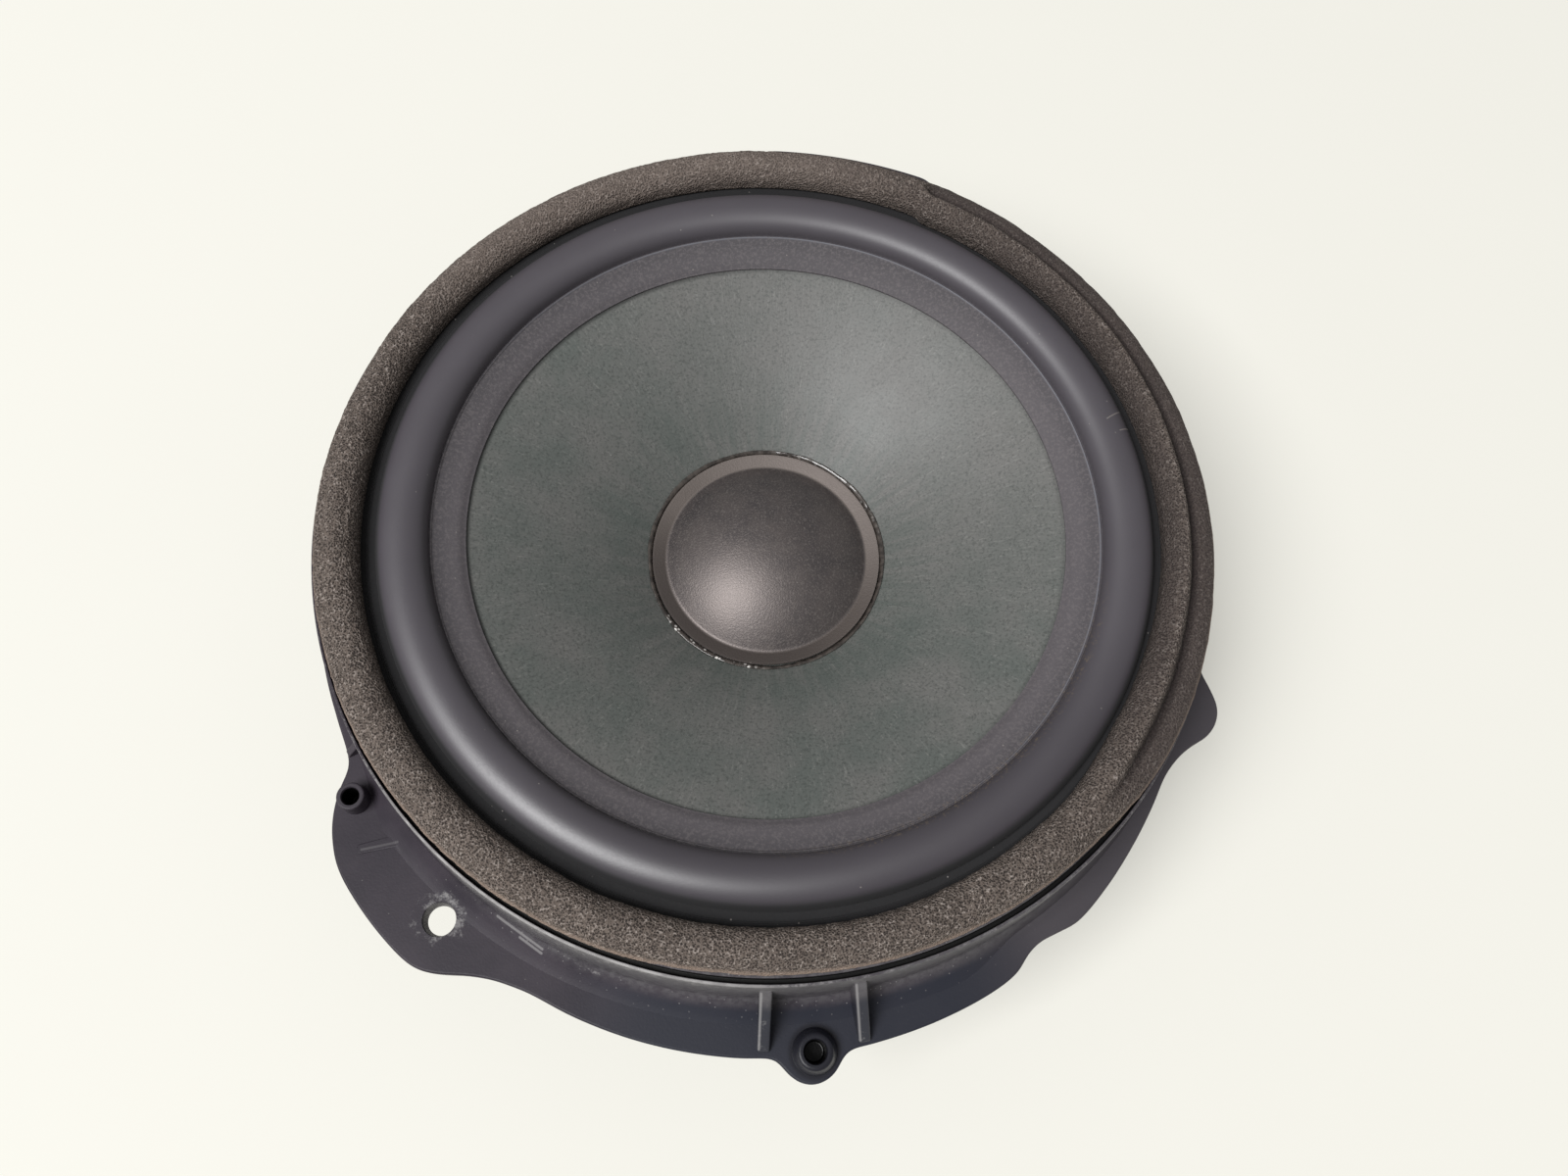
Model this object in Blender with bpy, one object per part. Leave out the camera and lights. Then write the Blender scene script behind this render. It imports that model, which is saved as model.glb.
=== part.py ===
"""Single-cone car-door woofer, motor down and face up, origin at the middle of its rear face."""

import math

import bmesh
import bpy
from mathutils import Matrix

MM = 0.001
TAU = 2.0 * math.pi

# Facets round each turned piece
FINE = 48
COARSE = 36

# Clearances
GLUE_LINE = 0.3 * MM
AIR_GAP = 0.6 * MM
FIT = 0.3 * MM

# Motor
BACK_PLATE_R = 39.0 * MM
BACK_PLATE_T = 5.0 * MM
MAGNET_R = 42.5 * MM
MAGNET_T = 15.0 * MM
MAGNET_BORE_STEP = 5.0 * MM
TOP_PLATE_R = 40.0 * MM
TOP_PLATE_T = 5.0 * MM
PLATE_CHAMFER = 1.0 * MM
POLE_RISE = 0.6 * MM
SCREW_R = 2.0 * MM
SCREW_HEAD_R = 3.6 * MM
SCREW_HEAD_T = 2.2 * MM

# Voice coil
COIL_R = 18.0 * MM
FORMER_WALL = 0.4 * MM
FORMER_TAIL = 1.0 * MM
FORMER_STUB = 1.2 * MM
WINDING_T = 0.7 * MM
WINDING_LENGTH = 12.0 * MM

# Spider
SPIDER_R = 50.5 * MM
SPIDER_T = 0.7 * MM
SPIDER_WAVES = 4
SPIDER_WAVE = 1.3 * MM
SPIDER_NECK = 3.0 * MM
LEDGE_WIDTH = 5.2 * MM

# Cone, dust cap and the glue round it
CONE_T = 0.9 * MM
CONE_BULGE = 2.3 * MM
NECK_RISE = 5.0 * MM
CAP_T = 0.7 * MM
CAP_LAND = 5.5 * MM
CAP_BRIM = 3.3 * MM
CAP_BRIM_DROP = 1.0 * MM
CAP_DOME = 7.6 * MM
BEAD_WIDTH = 1.0 * MM
BEAD_HEIGHT = 0.7 * MM

# Surround
ROLL_INNER_R = 64.0 * MM
ROLL_WIDTH = 9.7 * MM
ROLL_HEIGHT = 4.2 * MM
SURROUND_T = 0.9 * MM
INNER_LIP = 6.4 * MM
OUTER_LIP = 7.3 * MM
FOOT_RISE = 0.6 * MM

# Foam gasket and rear seal
FOAM_WIDTH = 7.8 * MM
FOAM_HEIGHT = 6.0 * MM
FOAM_SET_IN = 1.0 * MM
SEAL_WIDTH = 4.0 * MM
SEAL_T = 3.0 * MM

# Basket
WALL = 2.4 * MM
SEAT_T = 3.0 * MM
SEAT_HOLE_STEP = 7.5 * MM
SPIDER_RISE = 12.1 * MM
RIM_RISE = 29.0 * MM
LEDGE_OVERLAP = 2.0 * MM
RIM_LIP = 4.3 * MM
RIM_EDGE = 1.2 * MM
SKIRT_DRAFT = 0.8 * MM
SKIRT_FOOT = 1.6 * MM
WINDOWS = 12
WINDOW_WIDTH = 19.0 * MM
WINDOW_RAIL = 4.0 * MM
RIB_T = 2.0 * MM
RIB_DEPTH = 20.0 * MM

# Flange, its tabs and what stands on them
FLANGE_DROP = 16.0 * MM
FLANGE_T = 3.0 * MM
FLANGE_WIDTH = 3.2 * MM
SECTOR_REACH = 6.8 * MM
TAB_REACH = 13.0 * MM
FAR_TAB_REACH = 12.4 * MM
SCREW_HOLE_R = 3.1 * MM
SCREW_HOLE_EDGE = 8.6 * MM
BOSS_R = 3.5 * MM
BOSS_BORE_R = 1.8 * MM
BOSS_RISE = 3.0 * MM
PEG_R = 2.6 * MM
PEG_BORE_R = 1.5 * MM
PEG_RISE = 4.2 * MM
BORE_FLOOR = 1.0 * MM
GUSSET_T = 2.0 * MM

# How far the flange stands out beyond its plain ring, as (degrees from +X, mm) round the near side
NEAR_TAB = (
    (198.0, 0.0), (203.0, 0.4), (205.0, 1.4), (207.0, 4.8), (209.0, 7.5), (211.0, 9.5), (214.0, 11.5),
    (218.0, 12.5), (224.0, 13.3), (226.8, 13.3), (228.5, 12.5), (230.0, 11.1), (232.0, 9.0), (234.0, 7.5),
    (236.0, 6.6), (239.0, 6.0),
)
LONG_SECTOR = ((244.0, 6.4), (252.0, 6.9), (262.0, 7.2), (265.3, 7.2))
BOSS_TAB = (
    (266.2, 7.9), (267.0, 9.5), (268.0, 11.0), (269.4, 11.8), (270.8, 11.4), (272.0, 10.1), (272.9, 8.1),
)
LONG_SECTOR_END = ((273.8, 7.0), (276.0, 6.7), (284.0, 6.1), (291.0, 5.4), (294.0, 4.6), (296.0, 3.1))
SHORT_SECTOR = (
    (298.0, 2.5), (300.5, 3.1), (303.0, 3.8), (308.0, 3.1), (314.0, 2.0), (320.0, 1.0), (324.0, 0.5),
)
EAR = (
    (327.0, 1.4), (329.0, 2.9), (331.0, 5.1), (333.0, 6.0), (335.0, 5.5), (337.0, 3.3), (339.0, 0.9),
    (342.0, 0.0),
)

# Angles round the axis, in degrees from +X: the far tab is (shoulder, start, end, shoulder)
FAR_TAB = (55.0, 64.0, 84.0, 93.0)
NEAR_HOLE = 226.0
FAR_HOLE = 74.0
BOSS = 270.0
PEG = 209.0
GUSSETS = (264.6, 275.4)
CONNECTOR = 180.0

# Connector and leads
WEB_T = 2.4 * MM
WEB_DROP = 6.0 * MM
WEB_WIDTH = 27.0 * MM
HOUSING_WIDTH = 22.0 * MM
HOUSING_DEPTH = 9.4 * MM
HOUSING_HEIGHT = 16.0 * MM
HOUSING_WALL = 1.4 * MM
HOUSING_ROOF = 3.0 * MM
HOUSING_SET_IN = 2.6 * MM
BLADE_T = 0.8 * MM
BLADE_SPACING = 9.0 * MM
BLADE_WIDE = 4.8 * MM
BLADE_NARROW = 2.8 * MM
BLADE_RECESS = 4.0 * MM
BLADE_RISE = 3.6 * MM
LEAD_R = 0.6 * MM
LEAD_LEVEL = 0.15

# Heights and radii that follow from the sizes above
MAGNET_Z = BACK_PLATE_T + GLUE_LINE
TOP_PLATE_Z = MAGNET_Z + MAGNET_T + GLUE_LINE
SEAT_Z = TOP_PLATE_Z + TOP_PLATE_T + GLUE_LINE
SPIDER_Z = SEAT_Z + SPIDER_RISE
RIM_Z = SPIDER_Z + RIM_RISE
LIP_Z = RIM_Z + GLUE_LINE + SURROUND_T
FLANGE_Z = RIM_Z - FLANGE_DROP

POLE_R = COIL_R - AIR_GAP
FORMER_R = COIL_R + FORMER_WALL
WINDING_R = FORMER_R + GLUE_LINE + WINDING_T
PLATE_BORE_R = WINDING_R + AIR_GAP
SEAT_HOLE_R = PLATE_BORE_R + SEAT_HOLE_STEP
LEDGE_R = SPIDER_R + GLUE_LINE
DRUM_R = LEDGE_R - LEDGE_WIDTH + WALL
SCREW_CIRCLE_R = (SEAT_HOLE_R + TOP_PLATE_R) / 2.0

ROLL_OUTER_R = ROLL_INNER_R + ROLL_WIDTH
MOUTH_R = ROLL_OUTER_R - LEDGE_OVERLAP
RECESS_R = ROLL_OUTER_R + OUTER_LIP + FIT
RIM_R = RECESS_R + RIM_LIP
SKIRT_R = RIM_R + SKIRT_DRAFT
FLANGE_R = SKIRT_R + FLANGE_WIDTH

NECK_R = FORMER_R + GLUE_LINE
NECK_Z = SPIDER_Z + NECK_RISE
CONE_R = ROLL_INNER_R - FIT
CONE_Z = RIM_Z + GLUE_LINE + FOOT_RISE
CAP_R = FORMER_R + CAP_LAND
HOUSING_TOP = RIM_Z - WALL - WEB_DROP - WEB_T - FIT
HOUSING_R = SKIRT_R - WALL - HOUSING_SET_IN - HOUSING_DEPTH / 2.0


def clear_scene():
    """Empty the scene so that the model is all it holds."""
    for item in list(bpy.data.objects):
        bpy.data.objects.remove(item, do_unlink=True)


def material(name, colour, roughness, metallic=0.0):
    """Make a plain surface of one colour."""
    made = bpy.data.materials.new(name)
    made.use_nodes = True
    shader = made.node_tree.nodes["Principled BSDF"]
    shader.inputs["Base Color"].default_value = (*colour, 1.0)
    shader.inputs["Roughness"].default_value = roughness
    shader.inputs["Metallic"].default_value = metallic
    return made


def empty(name, parent=None):
    """Add an axis marker at the origin that pieces hang from."""
    marker = bpy.data.objects.new(name, None)
    marker.parent = parent
    bpy.context.scene.collection.objects.link(marker)
    return marker


def finish(name, bm, surface=None, parent=None):
    """Turn a bmesh into a smooth-shaded object; one with no surface is a cutter or a joining shape."""
    bmesh.ops.remove_doubles(bm, verts=bm.verts, dist=1e-7)
    bmesh.ops.recalc_face_normals(bm, faces=bm.faces)
    mesh = bpy.data.meshes.new(name)
    bm.to_mesh(mesh)
    bm.free()
    mesh.shade_smooth()
    mesh.set_sharp_from_angle(angle=math.radians(35.0))
    made = bpy.data.objects.new(name, mesh)
    bpy.context.scene.collection.objects.link(made)
    if surface is None:
        made.hide_render = True
        made.display_type = "WIRE"
    else:
        mesh.materials.append(surface)
        made.parent = parent
    return made


def turned(profile, facets):
    """Spin a closed outline of (radius, height) points once round the Z axis."""
    bm = bmesh.new()
    ring = [bm.verts.new((radius, 0.0, height)) for radius, height in profile]
    edges = [bm.edges.new((ring[i - 1], ring[i])) for i in range(len(ring))]
    bmesh.ops.spin(
        bm, geom=ring + edges, axis=(0, 0, 1), cent=(0, 0, 0), angle=TAU, steps=facets, use_merge=True
    )
    bmesh.ops.remove_doubles(bm, verts=bm.verts, dist=1e-7)
    bmesh.ops.delete(bm, geom=[edge for edge in bm.edges if edge.is_wire], context="EDGES")
    return bm


def prism(bm, outline, bottom, top):
    """Add an upright prism over a flat outline of (x, y) points."""
    face = bm.faces.new([bm.verts.new((x, y, bottom)) for x, y in outline])
    raised = bmesh.ops.extrude_face_region(bm, geom=[face])["geom"]
    corners = [item for item in raised if isinstance(item, bmesh.types.BMVert)]
    bmesh.ops.translate(bm, verts=corners, vec=(0, 0, top - bottom))


def disc(bm, centre, radius, bottom, top, facets=24):
    """Add an upright cylinder."""
    outline = [
        (centre[0] + radius * math.cos(TAU * i / facets), centre[1] + radius * math.sin(TAU * i / facets))
        for i in range(facets)
    ]
    prism(bm, outline, bottom, top)


def blade(bm, outline, width, angle, offset=0.0):
    """Add a radial plate: an outline of (radius, height) points, given a width across the radius."""
    turn = Matrix.Rotation(math.radians(angle), 3, "Z")
    side = offset - width / 2.0
    face = bm.faces.new([bm.verts.new(turn @ bm_point(radius, side, height)) for radius, height in outline])
    raised = bmesh.ops.extrude_face_region(bm, geom=[face])["geom"]
    corners = [item for item in raised if isinstance(item, bmesh.types.BMVert)]
    bmesh.ops.translate(bm, verts=corners, vec=turn @ bm_point(0.0, width, 0.0))


def bm_point(radial, across, height):
    """A point in a radial plane, before the plane is turned to its angle."""
    return Matrix.Translation((radial, across, height)).translation


def box(low_r, high_r, low_z, high_z):
    """A rectangle of (radius, height) points."""
    return [(low_r, low_z), (high_r, low_z), (high_r, high_z), (low_r, high_z)]


def polar(radius, angle):
    """Turn a radius and an angle in degrees into (x, y)."""
    return radius * math.cos(math.radians(angle)), radius * math.sin(math.radians(angle))


def combine(target, helper, operation):
    """Join a helper shape to a piece, or cut it away."""
    step = target.modifiers.new(helper.name, "BOOLEAN")
    step.operation = operation
    step.solver = "EXACT"
    step.object = helper


def shell(front, thickness):
    """Close a line of (radius, height) points into a sheet that lies below it by the thickness."""
    back = []
    for i, (radius, height) in enumerate(front):
        before = front[max(i - 1, 0)]
        after = front[min(i + 1, len(front) - 1)]
        run = after[0] - before[0]
        rise = after[1] - before[1]
        length = math.hypot(run, rise)
        back.append((max(radius + thickness * rise / length, 0.0), height - thickness * run / length))
    back[0] = (front[0][0], back[0][1])
    return front + back[::-1]


def ease(value):
    """Smooth step from 0 to 1."""
    value = min(max(value, 0.0), 1.0)
    return value * value * (3.0 - 2.0 * value)


def arc_reach(angle, span, reach):
    """How far a raised stretch of the flange stands out: it rises on one shoulder and falls on the other."""
    rise = ease((angle - span[0]) / (span[1] - span[0]))
    fall = ease((span[3] - angle) / (span[3] - span[2]))
    return reach * min(rise, fall)


def traced_reach(angle, line):
    """How far the flange stands out there, by a smooth curve through the (angle, mm) pairs of a line."""
    if not line[0][0] < angle < line[-1][0]:
        return 0.0
    i = max(k for k in range(len(line) - 1) if line[k][0] <= angle)
    slopes = []
    for k in (i, i + 1):
        before, after = line[max(k - 1, 0)], line[min(k + 1, len(line) - 1)]
        slopes.append((after[1] - before[1]) / (after[0] - before[0]))
    run = line[i + 1][0] - line[i][0]
    t = (angle - line[i][0]) / run
    bend = t * (1.0 - t) * run * ((1.0 - t) * slopes[0] - t * slopes[1])
    return (line[i][1] + (line[i + 1][1] - line[i][1]) * ease(t) + bend) * MM


def hole_radius():
    """Radius of the circle that the far and near screw holes lie on."""
    return FLANGE_R + TAB_REACH - SCREW_HOLE_EDGE


def boss_radius():
    """Radius at which the boss and its round tab are centred."""
    return FLANGE_R + SECTOR_REACH


def flange_radius(angle):
    """The flange's outer edge: the plain ring, or the tab or sector that stands out there."""
    near_side = NEAR_TAB + LONG_SECTOR + BOSS_TAB + LONG_SECTOR_END + SHORT_SECTOR + EAR
    return FLANGE_R + max(arc_reach(angle, FAR_TAB, FAR_TAB_REACH), traced_reach(angle, near_side))


def cone_height(radius):
    """Height of the cone's front face: an arc from neck to edge that bulges by CONE_BULGE."""
    run = CONE_R - NECK_R
    rise = CONE_Z - NECK_Z
    chord = math.hypot(run, rise)
    sweep = chord ** 2 / (8.0 * CONE_BULGE) + CONE_BULGE / 2.0
    back = (sweep - CONE_BULGE) / chord
    centre_r = (CONE_R + NECK_R) / 2.0 + rise * back
    centre_z = (CONE_Z + NECK_Z) / 2.0 - run * back
    return centre_z + math.sqrt(sweep ** 2 - (radius - centre_r) ** 2)


def between(low, high, count):
    """Evenly spaced values, both ends included."""
    return [low + (high - low) * i / (count - 1) for i in range(count)]


def bucket_radius(height):
    """Inner radius of the basket's sloping wall."""
    return LEDGE_R + (MOUTH_R - LEDGE_R) * (height - SPIDER_Z) / (RIM_Z - SPIDER_Z)


def basket_profile():
    """Section of the basket: rim, skirt, sloping wall, spider ledge, drum and motor seat."""
    under = RIM_Z - WALL
    foot = FLANGE_Z - FLANGE_T / 2.0
    return [
        (MOUTH_R, RIM_Z),
        (RECESS_R, RIM_Z),
        (RECESS_R, LIP_Z),
        (RIM_R - RIM_EDGE, LIP_Z),
        (RIM_R, LIP_Z - RIM_EDGE),
        (SKIRT_R, FLANGE_Z + SKIRT_FOOT),
        (SKIRT_R + SKIRT_FOOT, FLANGE_Z - FLANGE_T / 6.0),
        (SKIRT_R + SKIRT_FOOT, foot),
        (SKIRT_R - WALL, foot),
        (RIM_R - WALL, under),
        (bucket_radius(under) + 1.25 * WALL, under),
        (bucket_radius(SPIDER_Z) + 1.25 * WALL, SPIDER_Z),
        (LEDGE_R + WALL, SPIDER_Z - WALL),
        (DRUM_R, SPIDER_Z - WALL),
        (DRUM_R, SEAT_Z),
        (SEAT_HOLE_R, SEAT_Z),
        (SEAT_HOLE_R, SEAT_Z + SEAT_T),
        (DRUM_R - WALL, SEAT_Z + SEAT_T),
        (DRUM_R - WALL, SPIDER_Z),
        (LEDGE_R, SPIDER_Z),
    ]


def window_cutters():
    """Slanted cutters for the windows in the basket's sloping wall."""
    bm = bmesh.new()
    low = SPIDER_Z + WINDOW_RAIL
    high = RIM_Z - WALL - WINDOW_RAIL / 2.0
    outline = [
        (bucket_radius(low) - 2.0 * WALL, low),
        (bucket_radius(low) + 2.5 * WALL, low),
        (bucket_radius(high) + 2.5 * WALL, high),
        (bucket_radius(high) - 2.0 * WALL, high),
    ]
    for i in range(WINDOWS):
        blade(bm, outline, WINDOW_WIDTH, CONNECTOR + 360.0 * i / WINDOWS)
    return finish("window_cutters", bm)


def flange_plate():
    """The flat flange with its tabs, as a ring round the foot of the skirt."""
    bm = bmesh.new()
    step = 1.5
    outline = [polar(flange_radius(step * i), step * i) for i in range(int(360.0 / step))]
    prism(bm, outline, FLANGE_Z - FLANGE_T, FLANGE_Z)
    plate = finish("flange_plate", bm)
    bore = bmesh.new()
    disc(bore, (0.0, 0.0), SKIRT_R - WALL / 2.0, FLANGE_Z - 2.0 * FLANGE_T, FLANGE_Z + FLANGE_T, FINE)
    combine(plate, finish("flange_bore", bore), "DIFFERENCE")
    return plate


def basket_additions():
    """Gussets, bosses and the connector's web, none of which touch each other."""
    bm = bmesh.new()
    foot = FLANGE_Z - FLANGE_T / 2.0
    root = RIM_R - WALL / 2.0
    edge = FLANGE_R + SECTOR_REACH - WALL / 4.0
    top = LIP_Z - RIM_EDGE - WALL / 2.0
    for angle in GUSSETS:
        outline = [(root, foot), (edge, foot), (edge, FLANGE_Z + WALL / 4.0), (root, top)]
        blade(bm, outline, GUSSET_T, angle)
    disc(bm, polar(boss_radius(), BOSS), BOSS_R, foot, FLANGE_Z + BOSS_RISE, 20)
    disc(bm, polar(FLANGE_R + PEG_R, PEG), PEG_R, foot, FLANGE_Z + PEG_RISE, 16)
    low = HOUSING_TOP + FIT
    web = box(bucket_radius(low) + WALL / 2.0, SKIRT_R - 1.5 * WALL, low, low + WEB_T)
    blade(bm, web, WEB_WIDTH, CONNECTOR)
    return finish("basket_additions", bm)


def back_ribs():
    """Ribs behind the rim, between the windows, that tie the skirt to the sloping wall."""
    bm = bmesh.new()
    top = RIM_Z - WALL / 2.0
    low = RIM_Z - RIB_DEPTH
    outline = [
        (bucket_radius(low) + 0.6 * WALL, low),
        (SKIRT_R - WALL / 2.0, FLANGE_Z),
        (RIM_R - WALL / 2.0, top),
        (bucket_radius(top) + 0.6 * WALL, top),
    ]
    for i in range(WINDOWS):
        blade(bm, outline, RIB_T, CONNECTOR + 360.0 * (i + 0.5) / WINDOWS)
    return finish("back_ribs", bm)


def basket_holes():
    """Screw holes in the flange, bores in the bosses, motor screw holes and slots for the blades."""
    bm = bmesh.new()
    below = FLANGE_Z - 2.0 * FLANGE_T
    for angle in (NEAR_HOLE, FAR_HOLE):
        disc(bm, polar(hole_radius(), angle), SCREW_HOLE_R, below, FLANGE_Z + FLANGE_T, 20)
    floor = FLANGE_Z - FLANGE_T + BORE_FLOOR
    disc(bm, polar(boss_radius(), BOSS), BOSS_BORE_R, floor, FLANGE_Z + 2.0 * BOSS_RISE, 16)
    disc(bm, polar(FLANGE_R + PEG_R, PEG), PEG_BORE_R, floor, FLANGE_Z + 2.0 * PEG_RISE, 12)
    for i in range(4):
        place = polar(SCREW_CIRCLE_R, 45.0 + 90.0 * i)
        disc(bm, place, SCREW_R + FIT, SEAT_Z - SEAT_T, SEAT_Z + 2.0 * SEAT_T, 12)
    half = BLADE_T / 2.0 + FIT
    for width, side in ((BLADE_WIDE, 1.0), (BLADE_NARROW, -1.0)):
        slot = box(HOUSING_R - half, HOUSING_R + half, HOUSING_TOP - FIT, HOUSING_TOP + 2.0 * WEB_T)
        blade(bm, slot, width + 2.0 * FIT, CONNECTOR, side * BLADE_SPACING / 2.0)
    return finish("basket_holes", bm)


def make_basket(parent):
    """The moulded basket that carries every other piece."""
    surface = material("moulded_plastic", (0.028, 0.029, 0.036), 0.42)
    basket = finish("basket", turned(basket_profile(), FINE), surface, parent)
    combine(basket, window_cutters(), "DIFFERENCE")
    combine(basket, back_ribs(), "UNION")
    combine(basket, flange_plate(), "UNION")
    combine(basket, basket_additions(), "UNION")
    combine(basket, basket_holes(), "DIFFERENCE")


def make_motor(parent):
    """T-yoke, ring magnet, top plate and the four screws that hold the plate to the basket."""
    steel = material("plated_steel", (0.42, 0.41, 0.38), 0.38, 1.0)
    ferrite = material("ferrite", (0.045, 0.044, 0.046), 0.62)
    pole_top = TOP_PLATE_Z + TOP_PLATE_T + POLE_RISE
    yoke = [
        (0.0, pole_top),
        (POLE_R - PLATE_CHAMFER, pole_top),
        (POLE_R, pole_top - PLATE_CHAMFER),
        (POLE_R, BACK_PLATE_T),
        (BACK_PLATE_R, BACK_PLATE_T),
        (BACK_PLATE_R, PLATE_CHAMFER),
        (BACK_PLATE_R - PLATE_CHAMFER, 0.0),
        (0.0, 0.0),
    ]
    finish("t_yoke", turned(yoke, COARSE), steel, parent)
    bore = PLATE_BORE_R + MAGNET_BORE_STEP
    magnet = [
        (MAGNET_R - PLATE_CHAMFER, MAGNET_Z + MAGNET_T),
        (MAGNET_R, MAGNET_Z + MAGNET_T - PLATE_CHAMFER),
        (MAGNET_R, MAGNET_Z + PLATE_CHAMFER),
        (MAGNET_R - PLATE_CHAMFER, MAGNET_Z),
        (bore, MAGNET_Z),
        (bore, MAGNET_Z + MAGNET_T),
    ]
    finish("magnet", turned(magnet, COARSE), ferrite, parent)
    plate = [
        (TOP_PLATE_R, TOP_PLATE_Z + TOP_PLATE_T),
        (TOP_PLATE_R, TOP_PLATE_Z + PLATE_CHAMFER),
        (TOP_PLATE_R - PLATE_CHAMFER, TOP_PLATE_Z),
        (PLATE_BORE_R, TOP_PLATE_Z),
        (PLATE_BORE_R, TOP_PLATE_Z + TOP_PLATE_T),
    ]
    top_plate = finish("top_plate", turned(plate, COARSE), steel, parent)
    holes = bmesh.new()
    for i in range(4):
        disc(holes, polar(SCREW_CIRCLE_R, 45.0 + 90.0 * i), SCREW_R + FIT, 0.0, SEAT_Z + SEAT_T, 12)
    combine(top_plate, finish("plate_holes", holes), "DIFFERENCE")
    head = SEAT_Z + SEAT_T + FIT
    screw = [
        (0.0, head + SCREW_HEAD_T),
        (0.6 * SCREW_HEAD_R, head + SCREW_HEAD_T),
        (SCREW_HEAD_R, head + SCREW_HEAD_T / 2.0),
        (SCREW_HEAD_R, head),
        (SCREW_R, head),
        (SCREW_R, TOP_PLATE_Z + FIT),
        (0.0, TOP_PLATE_Z + FIT),
    ]
    for i in range(4):
        made = finish(f"motor_screw_{i + 1}", turned(screw, 12), steel, parent)
        made.location = (*polar(SCREW_CIRCLE_R, 45.0 + 90.0 * i), 0.0)


def make_coil(parent):
    """Voice-coil former and its winding, centred in the magnet's gap."""
    kapton = material("former_film", (0.30, 0.16, 0.05), 0.40)
    copper = material("copper_wire", (0.62, 0.26, 0.12), 0.35, 1.0)
    middle = TOP_PLATE_Z + TOP_PLATE_T / 2.0
    low = middle - WINDING_LENGTH / 2.0
    former = box(COIL_R, FORMER_R, low - FORMER_TAIL, NECK_Z + FORMER_STUB)
    finish("coil_former", turned(former, COARSE), kapton, parent)
    winding = box(FORMER_R + GLUE_LINE, WINDING_R, low, low + WINDING_LENGTH)
    finish("coil_winding", turned(winding, COARSE), copper, parent)


def make_cone(parent):
    """Cone, dust cap and the bead of glue round the cap."""
    pulp = material("cone_pulp", (0.115, 0.135, 0.125), 0.80)
    front = [(radius, cone_height(radius)) for radius in between(NECK_R, CONE_R, 6)]
    finish("cone", turned(shell(front, CONE_T), FINE), pulp, parent)

    cloth = material("cap_cloth", (0.060, 0.055, 0.054), 0.85)
    land = cone_height(CAP_R) + GLUE_LINE + CAP_T
    valley_r = CAP_R - CAP_BRIM
    valley = land - CAP_BRIM_DROP
    sweep = (valley_r ** 2 + CAP_DOME ** 2) / (2.0 * CAP_DOME)
    dome = [
        (radius, valley + CAP_DOME - sweep + math.sqrt(sweep ** 2 - radius ** 2))
        for radius in between(0.0, valley_r, 6)
    ]
    finish("dust_cap", turned(shell(dome + [(CAP_R, land)], CAP_T), COARSE), cloth, parent)

    gloss = material("set_glue", (0.030, 0.026, 0.022), 0.08)
    inner = CAP_R + GLUE_LINE
    outer = inner + BEAD_WIDTH
    crest = BEAD_HEIGHT + GLUE_LINE
    bead = [
        (inner, cone_height(inner) + crest),
        (inner + 0.6 * BEAD_WIDTH, cone_height(inner + 0.6 * BEAD_WIDTH) + crest),
        (outer, cone_height(outer) + 2.0 * GLUE_LINE),
        (outer, cone_height(outer) + GLUE_LINE),
        (inner, cone_height(inner) + GLUE_LINE),
    ]
    finish("cap_glue_bead", turned(bead, COARSE), gloss, parent)


def make_suspension(parent):
    """Rubber half-roll surround and corrugated spider, which bend as the cone travels."""
    rubber = material("surround_rubber", (0.036, 0.034, 0.040), 0.50)
    rise = GLUE_LINE + SURROUND_T
    foot_in = cone_height(CONE_R) + rise
    lip_r = ROLL_INNER_R - INNER_LIP
    front = [(radius, cone_height(radius) + rise) for radius in between(lip_r, CONE_R - FIT, 3)]
    middle = (ROLL_INNER_R + ROLL_OUTER_R) / 2.0
    for turn in between(0.0, math.pi, 9):
        across = (1.0 - math.cos(turn)) / 2.0
        base = foot_in + (LIP_Z - foot_in) * across
        front.append((middle - ROLL_WIDTH / 2.0 * math.cos(turn), base + ROLL_HEIGHT * math.sin(turn)))
    front.append((ROLL_OUTER_R + OUTER_LIP, LIP_Z))
    finish("surround", turned(shell(front, SURROUND_T), FINE), rubber, parent)

    cloth = material("spider_cloth", (0.42, 0.26, 0.10), 0.90)
    level = SPIDER_Z + GLUE_LINE + SPIDER_T
    start = NECK_R + SPIDER_NECK
    end = LEDGE_R - LEDGE_WIDTH - FIT
    line = [(NECK_R, level)]
    for i in range(2 * SPIDER_WAVES + 1):
        side = 0.0 if i in (0, 2 * SPIDER_WAVES) else (1.0 if i % 2 else -1.0)
        line.append((start + (end - start) * i / (2 * SPIDER_WAVES), level + side * SPIDER_WAVE))
    line.append((SPIDER_R, level))
    finish("spider", turned(shell(line, SPIDER_T), COARSE), cloth, parent)


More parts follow.
